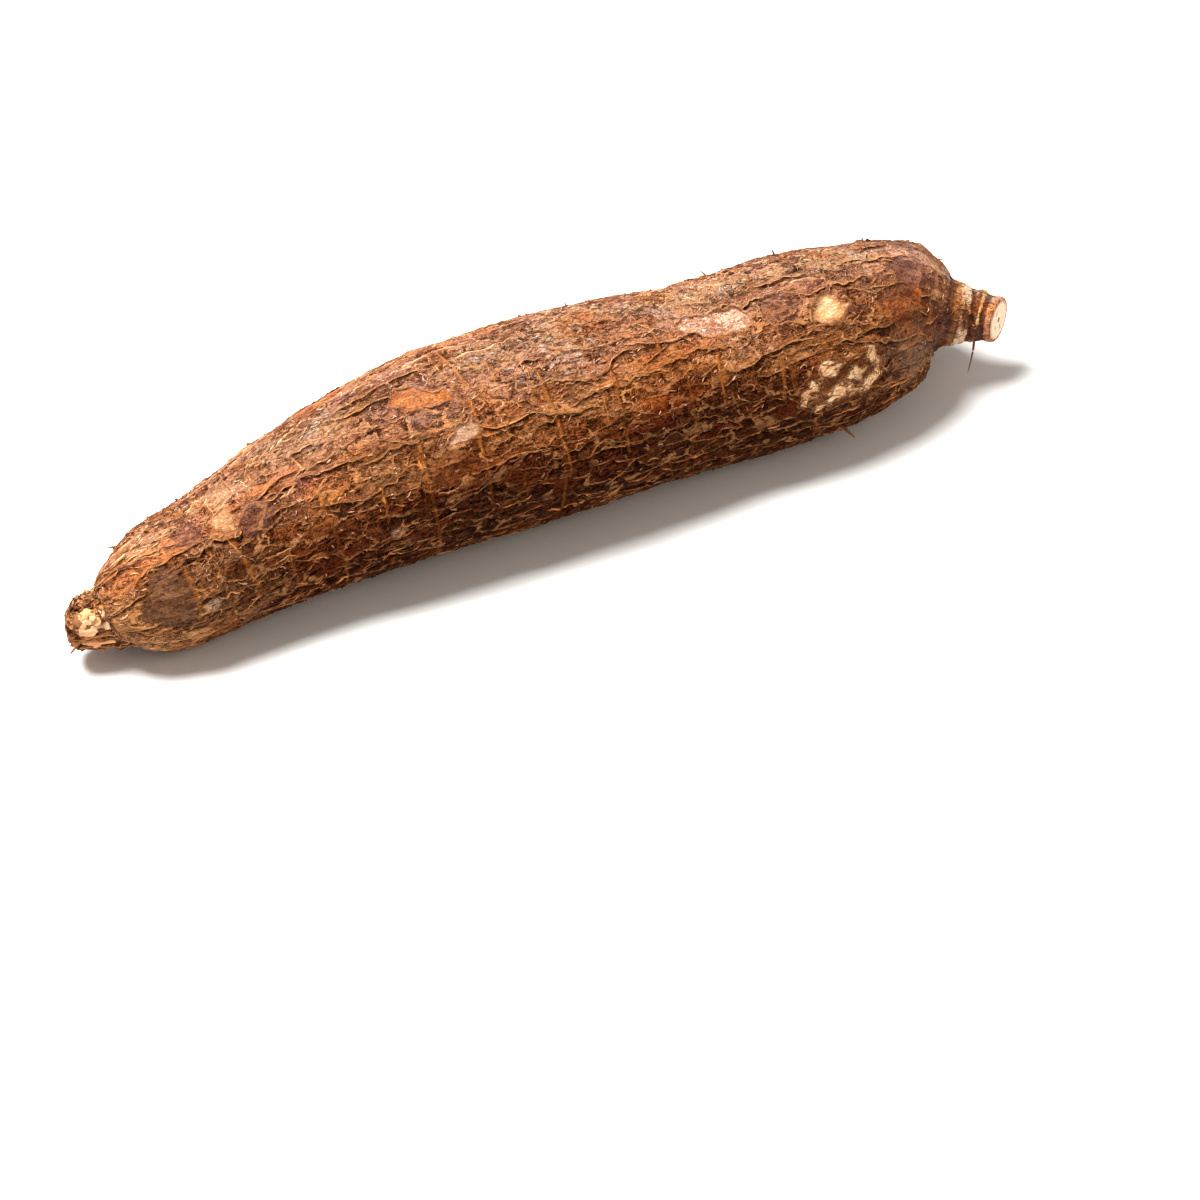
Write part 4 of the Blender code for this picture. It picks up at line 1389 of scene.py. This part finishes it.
def tubeMesh(paths, radii, sides):
    # a round section carried along each path, its size given at every step, ends closed by
    # one face each; the section's frame is square to the path and to a fixed direction
    ahead = unitVectors(np.gradient(paths, axis=1))
    fixed = np.where(np.abs(ahead[..., 2:]) > 0.9, np.array([1.0, 0.0, 0.0]), np.array([0.0, 0.0, 1.0]))
    side = unitVectors(np.cross(fixed, ahead))
    other = np.cross(ahead, side)
    angle = np.linspace(0, fullTurn, sides, endpoint=False)
    points = paths[:, :, None] + radii[:, :, None, None] * (
        np.cos(angle)[:, None] * side[:, :, None] + np.sin(angle)[:, None] * other[:, :, None])
    return points.reshape(-1, 3), *stripFaces(*paths.shape[:2], sides)


rootlets = {
    # along (mm), round (turns), length, thick at the base (mm), lean along, lean round, droop
    "placed": [
        (312.0, 0.900, 7.0, 0.50, -0.30, 0.10, 0.9), (3.0, 0.790, 4.0, 0.75, -0.60, 0.30, 0.8),
        (251.0, 0.872, 4.5, 0.75, 0.60, 0.20, 0.4), (173.0, 0.410, 2.2, 0.40, -0.2, 0.0, 0.0),
        (222.8, 0.393, 2.4, 0.45, -0.6, 0.0, 0.0), (246.0, 0.404, 2.2, 0.55, -0.2, 0.0, 0.0),
        (278.6, 0.415, 1.6, 0.55, 0.2, 0.0, 0.0), (22.7, 0.388, 3.0, 0.60, -0.7, 0.0, 0.0),
        (266.7, 0.796, 2.6, 0.40, 0.6, 0.2, 0.2)],
    "stray": 26, "steps": 12, "sides": 6,
}


def addRootlets(plan):
    # each rootlet leaves the skin along its normal, leans over and droops, and thins to its tip
    spans = [(10, tube["length"] - 20), (0, 1), (0.5, 1.3), (0.3, 0.6), (-1.4, 1.4), (-0.8, 0.8)]
    stray = [[dice.uniform(*ends) for ends in spans] + [0.1] for k in range(plan["stray"])]
    rows = np.array(plan["placed"] + stray)
    s, turn, length, thick, leanAlong, leanRound, droop = rows.T
    start = sample(skinPoints, s, turn)
    up = unitVectors(sample(tube["normals"], s, turn))
    ahead = unitVectors(sample(skinPoints, s + 1, turn) - start)
    around = unitVectors(np.cross(up, ahead))
    t = np.linspace(0, 1, plan["steps"])[None, :, None]
    reach = length[:, None, None] * t
    lean = (leanAlong[:, None] * ahead + leanRound[:, None] * around)[:, None]
    rise = reach * (1 - 0.35 * t) - 0.5 * (1 - t)
    path = start[:, None] + up[:, None] * rise + lean * reach * (0.4 + 0.6 * t)
    path[..., 2] -= (droop * length)[:, None] * t[..., 0] ** 2
    wobble = wiggle(reach[..., 0], 1.4, 601, np.arange(len(rows))[:, None])
    path = path + 0.22 * wobble[..., None] * around[:, None]
    thin = thick[:, None] * (1 - 0.72 * t[..., 0] ** 0.8) * (1 + 0.15 * wobble)
    thin[:, -1] *= 0.4
    points, quads, ends = tubeMesh(path, thin, plan["sides"])
    straight = np.repeat(straightened(s, turn), plan["steps"] * plan["sides"], axis=0) / 10 + points / 10
    shade = dice.uniform(0.6, 1.5, (len(rows), 1, 1))
    color = toneOf("7a4a2a") * shade * (0.8 + 0.5 * t)
    color = np.repeat(color.reshape(-1, 3), plan["sides"], axis=0)
    addStrips("rootlets", [(points, quads, ends, straight, color)], rootletMaterial)


addRootlets(rootlets)


sawnFace = {
    "share": 0.87,                                        # its size as a share of the stalk's end
    "rings": 26, "rays": 23,
    "stand": 0.22,                                        # how far it stands out, mm
    "pith": 0.75, "pithDepth": 0.9,                       # the pith's radius and depth, mm
    "cream": "ffe2c4", "ray": "f0c69a", "pithTone": "5d3817", "rim": "b98752",
    # stains: share of the radius, angle (radians), size as a share of the radius, tone
    "marks": [(0.55, 0.30, 0.16, "b98a4a"), (0.62, 3.60, 0.15, "b58446"), (0.50, 5.20, 0.12, "c79a58")],
}


def makeSawnFace(plan):
    # a disc on the saw cut: rings shrink from the stalk's outline to a sunken pith, with
    # low rays and saw marks; the same rings come back flat beneath to close it
    outline = skinPoints[-1]
    middle = outline.mean(axis=0)
    normal = unitVectors(np.array(rootShape["sawNormal"]))
    arms = (outline - middle) * plan["share"]
    share = np.linspace(1, 0, plan["rings"])[:, None]
    angle = fullTurn * tube["turn"][None, :]
    reach = np.linalg.norm(arms, axis=1)[None, :] * share
    spot = np.stack([reach * np.cos(angle), reach * np.sin(angle), 0 * reach], axis=-1)
    rays = np.sin(plan["rays"] * angle + 2 * cloud(spot, 3.0, 2, 711)) * ease(1.0, 3.0, reach)
    saw = cloud(spot, (0.5, 7.0, 1.0), 2, 715)
    tall = plan["stand"] + 0.05 * rays + 0.07 * saw
    tall = tall - plan["pithDepth"] * (1 - ease(0.3, 1.2, reach / plan["pith"]))
    tall = tall * ease(0, 0.06, 1 - share + 0.02)
    top = middle + arms[None] * share[..., None] + tall[..., None] * normal
    low = middle + arms[None] * share[::-1][..., None] - 1.4 * normal
    points = np.concatenate([low, top])
    faces = gridFaces(len(points), len(outline))
    color = mixTo(toneOf(plan["cream"]), 0.45 * ease(0.0, 0.9, rays), toneOf(plan["ray"]))
    color = mixTo(color, 0.6 * ease(0.82, 0.98, share + 0.05 * saw), toneOf(plan["rim"]))
    for far, place, size, tone in plan["marks"]:
        x = share * np.cos(angle) - far * math.cos(place)
        y = share * np.sin(angle) - far * math.sin(place)
        stain = 1 - ease(0.7, 1.2, np.sqrt(x * x + 2 * y * y) / size + 0.2 * saw)
        color = mixTo(color, 0.8 * stain, toneOf(tone))
    color = mixTo(color, 1 - ease(0.7, 1.5, reach / plan["pith"] + 0.2 * saw), toneOf(plan["pithTone"]))
    color = np.concatenate([color[::-1], color])
    attributes = {"straight": np.concatenate([spot[::-1], spot]) / 10, "paint": withFourth(color)}
    points = points.reshape(-1, 3)
    addPiece("sawnFace", points, outwards(points, [faces]), woodMaterial, attributes)


makeSawnFace(sawnFace)


tipLumps = [
    # along, round, half length, half width, height (mm), tone
    (6.8, 0.660, 2.1, 2.3, 0.50, "e2b68a"), (4.4, 0.625, 1.5, 2.0, 0.45, "d3a06a"),
    (6.8, 0.592, 1.9, 1.6, 0.40, "c47c30"), (4.0, 0.700, 1.2, 2.2, 0.40, "d6a478"),
    (5.6, 0.800, 2.6, 1.5, 0.40, "c98d5c"), (2.2, 0.650, 1.2, 2.4, 0.40, "8a5a34"),
    (6.0, 0.250, 2.0, 1.6, 0.40, "cfa478"), (3.5, 0.400, 1.6, 1.4, 0.40, "a8743f"),
    (4.0, 0.120, 1.8, 1.5, 0.40, "c39a6a"),
]


def addTipLumps(lumps):
    # flattened knobs of pale wood bedded in the broken tip, each a sphere's grid squeezed
    # onto the skin and roughened by noise
    rows, columns = 9, 16
    polar = np.linspace(0.12, math.pi - 0.12, rows)[:, None]
    angle = np.linspace(0, fullTurn, columns, endpoint=False)[None, :]
    sets = []
    for k, (along, place, halfLength, halfWidth, tall, tone) in enumerate(lumps):
        x = halfLength * np.sin(polar) * np.cos(angle)
        y = halfWidth * np.sin(polar) * np.sin(angle)
        rough = cloud(np.stack([x, y, 4.0 * k + 0 * x], axis=-1), 1.3, 3, 811)
        s = np.clip(along + 1.15 * x * (1 + 0.6 * rough), 0.2, None)
        turn = place + 1.15 * y * (1 + 0.6 * rough) / girthAt(s)
        height = 0.55 * tall * np.cos(polar) + 0.30 * rough
        points = sample(skinPoints, s, turn) + height[..., None] * sample(tube["normals"], s, turn)
        sets.append((points, *stripFaces(1, rows, columns), straightened(s, turn) / 10,
                     toneOf(tone) * (1 + 0.35 * rough[..., None])))
    addStrips("tipWood", sets, woodMaterial)


addTipLumps(tipLumps)


stagePlan = {
    "floor": "f4f2ef", "floorHalf": 4.0, "floorTop": -0.0004,
    # the camera: round and up (degrees), how far from the place it aims at (m), lens in mm
    "turn": -28.4, "rise": 40.0, "distance": 0.955, "aim": (-0.0222, -0.0713, 0.0191), "lens": 100.0,
    "sky": 0.32,
    "key": {"at": (-0.36, 0.22, 1.08), "size": 0.55, "power": 31.4, "tone": (1.0, 1.0, 1.0)},
    "fill": {"at": (0.55, -0.95, 0.75), "size": 0.9, "power": 3.5, "tone": (1.0, 0.80, 0.62)},
}


def makeFloor(plan):
    # a pale square just under the root
    mesh = bpy.data.meshes.new("floor")
    half, top = plan["floorHalf"], plan["floorTop"]
    corners = [(-half, -half, top), (half, -half, top), (half, half, top), (-half, half, top)]
    mesh.from_pydata(corners, [], [(0, 1, 2, 3)])
    floor = bpy.data.objects.new("floor", mesh)
    bpy.context.scene.collection.objects.link(floor)
    material = bpy.data.materials.new("floorPaper")
    material.use_nodes = True
    shader = material.node_tree.nodes["Principled BSDF"]
    shader.inputs["Base Color"].default_value = paint(plan["floor"])
    shader.inputs["Roughness"].default_value = 0.9
    mesh.materials.append(material)


def addLight(name, plan):
    # a soft round lamp that faces the middle of the root
    lamp = bpy.data.lights.new(name, "AREA")
    lamp.shape = "DISK"
    lamp.size = plan["size"]
    lamp.energy = plan["power"]
    lamp.color = plan["tone"]
    light = bpy.data.objects.new(name, lamp)
    light.location = plan["at"]
    light.rotation_euler = (-Vector(plan["at"])).to_track_quat("-Z", "Y").to_euler()
    bpy.context.scene.collection.objects.link(light)


def makeCamera(plan):
    turn, rise = math.radians(plan["turn"]), math.radians(plan["rise"])
    back = Vector((math.sin(turn) * math.cos(rise), -math.cos(turn) * math.cos(rise), math.sin(rise)))
    data = bpy.data.cameras.new("camera")
    data.lens = plan["lens"]
    data.sensor_width = 36.0
    camera = bpy.data.objects.new("camera", data)
    camera.location = Vector(plan["aim"]) + back * plan["distance"]
    camera.rotation_euler = back.to_track_quat("Z", "Y").to_euler()
    bpy.context.scene.collection.objects.link(camera)
    bpy.context.scene.camera = camera


def makeSky(plan):
    world = bpy.data.worlds.new("studio")
    world.use_nodes = True
    background = world.node_tree.nodes["Background"].inputs
    background["Color"].default_value = (1.0, 1.0, 1.0, 1.0)
    background["Strength"].default_value = plan["sky"]
    bpy.context.scene.world = world


makeFloor(stagePlan)
makeCamera(stagePlan)
addLight("key", stagePlan["key"])
addLight("fill", stagePlan["fill"])
makeSky(stagePlan)
bpy.context.scene.view_settings.view_transform = "Standard"
print("stage set")
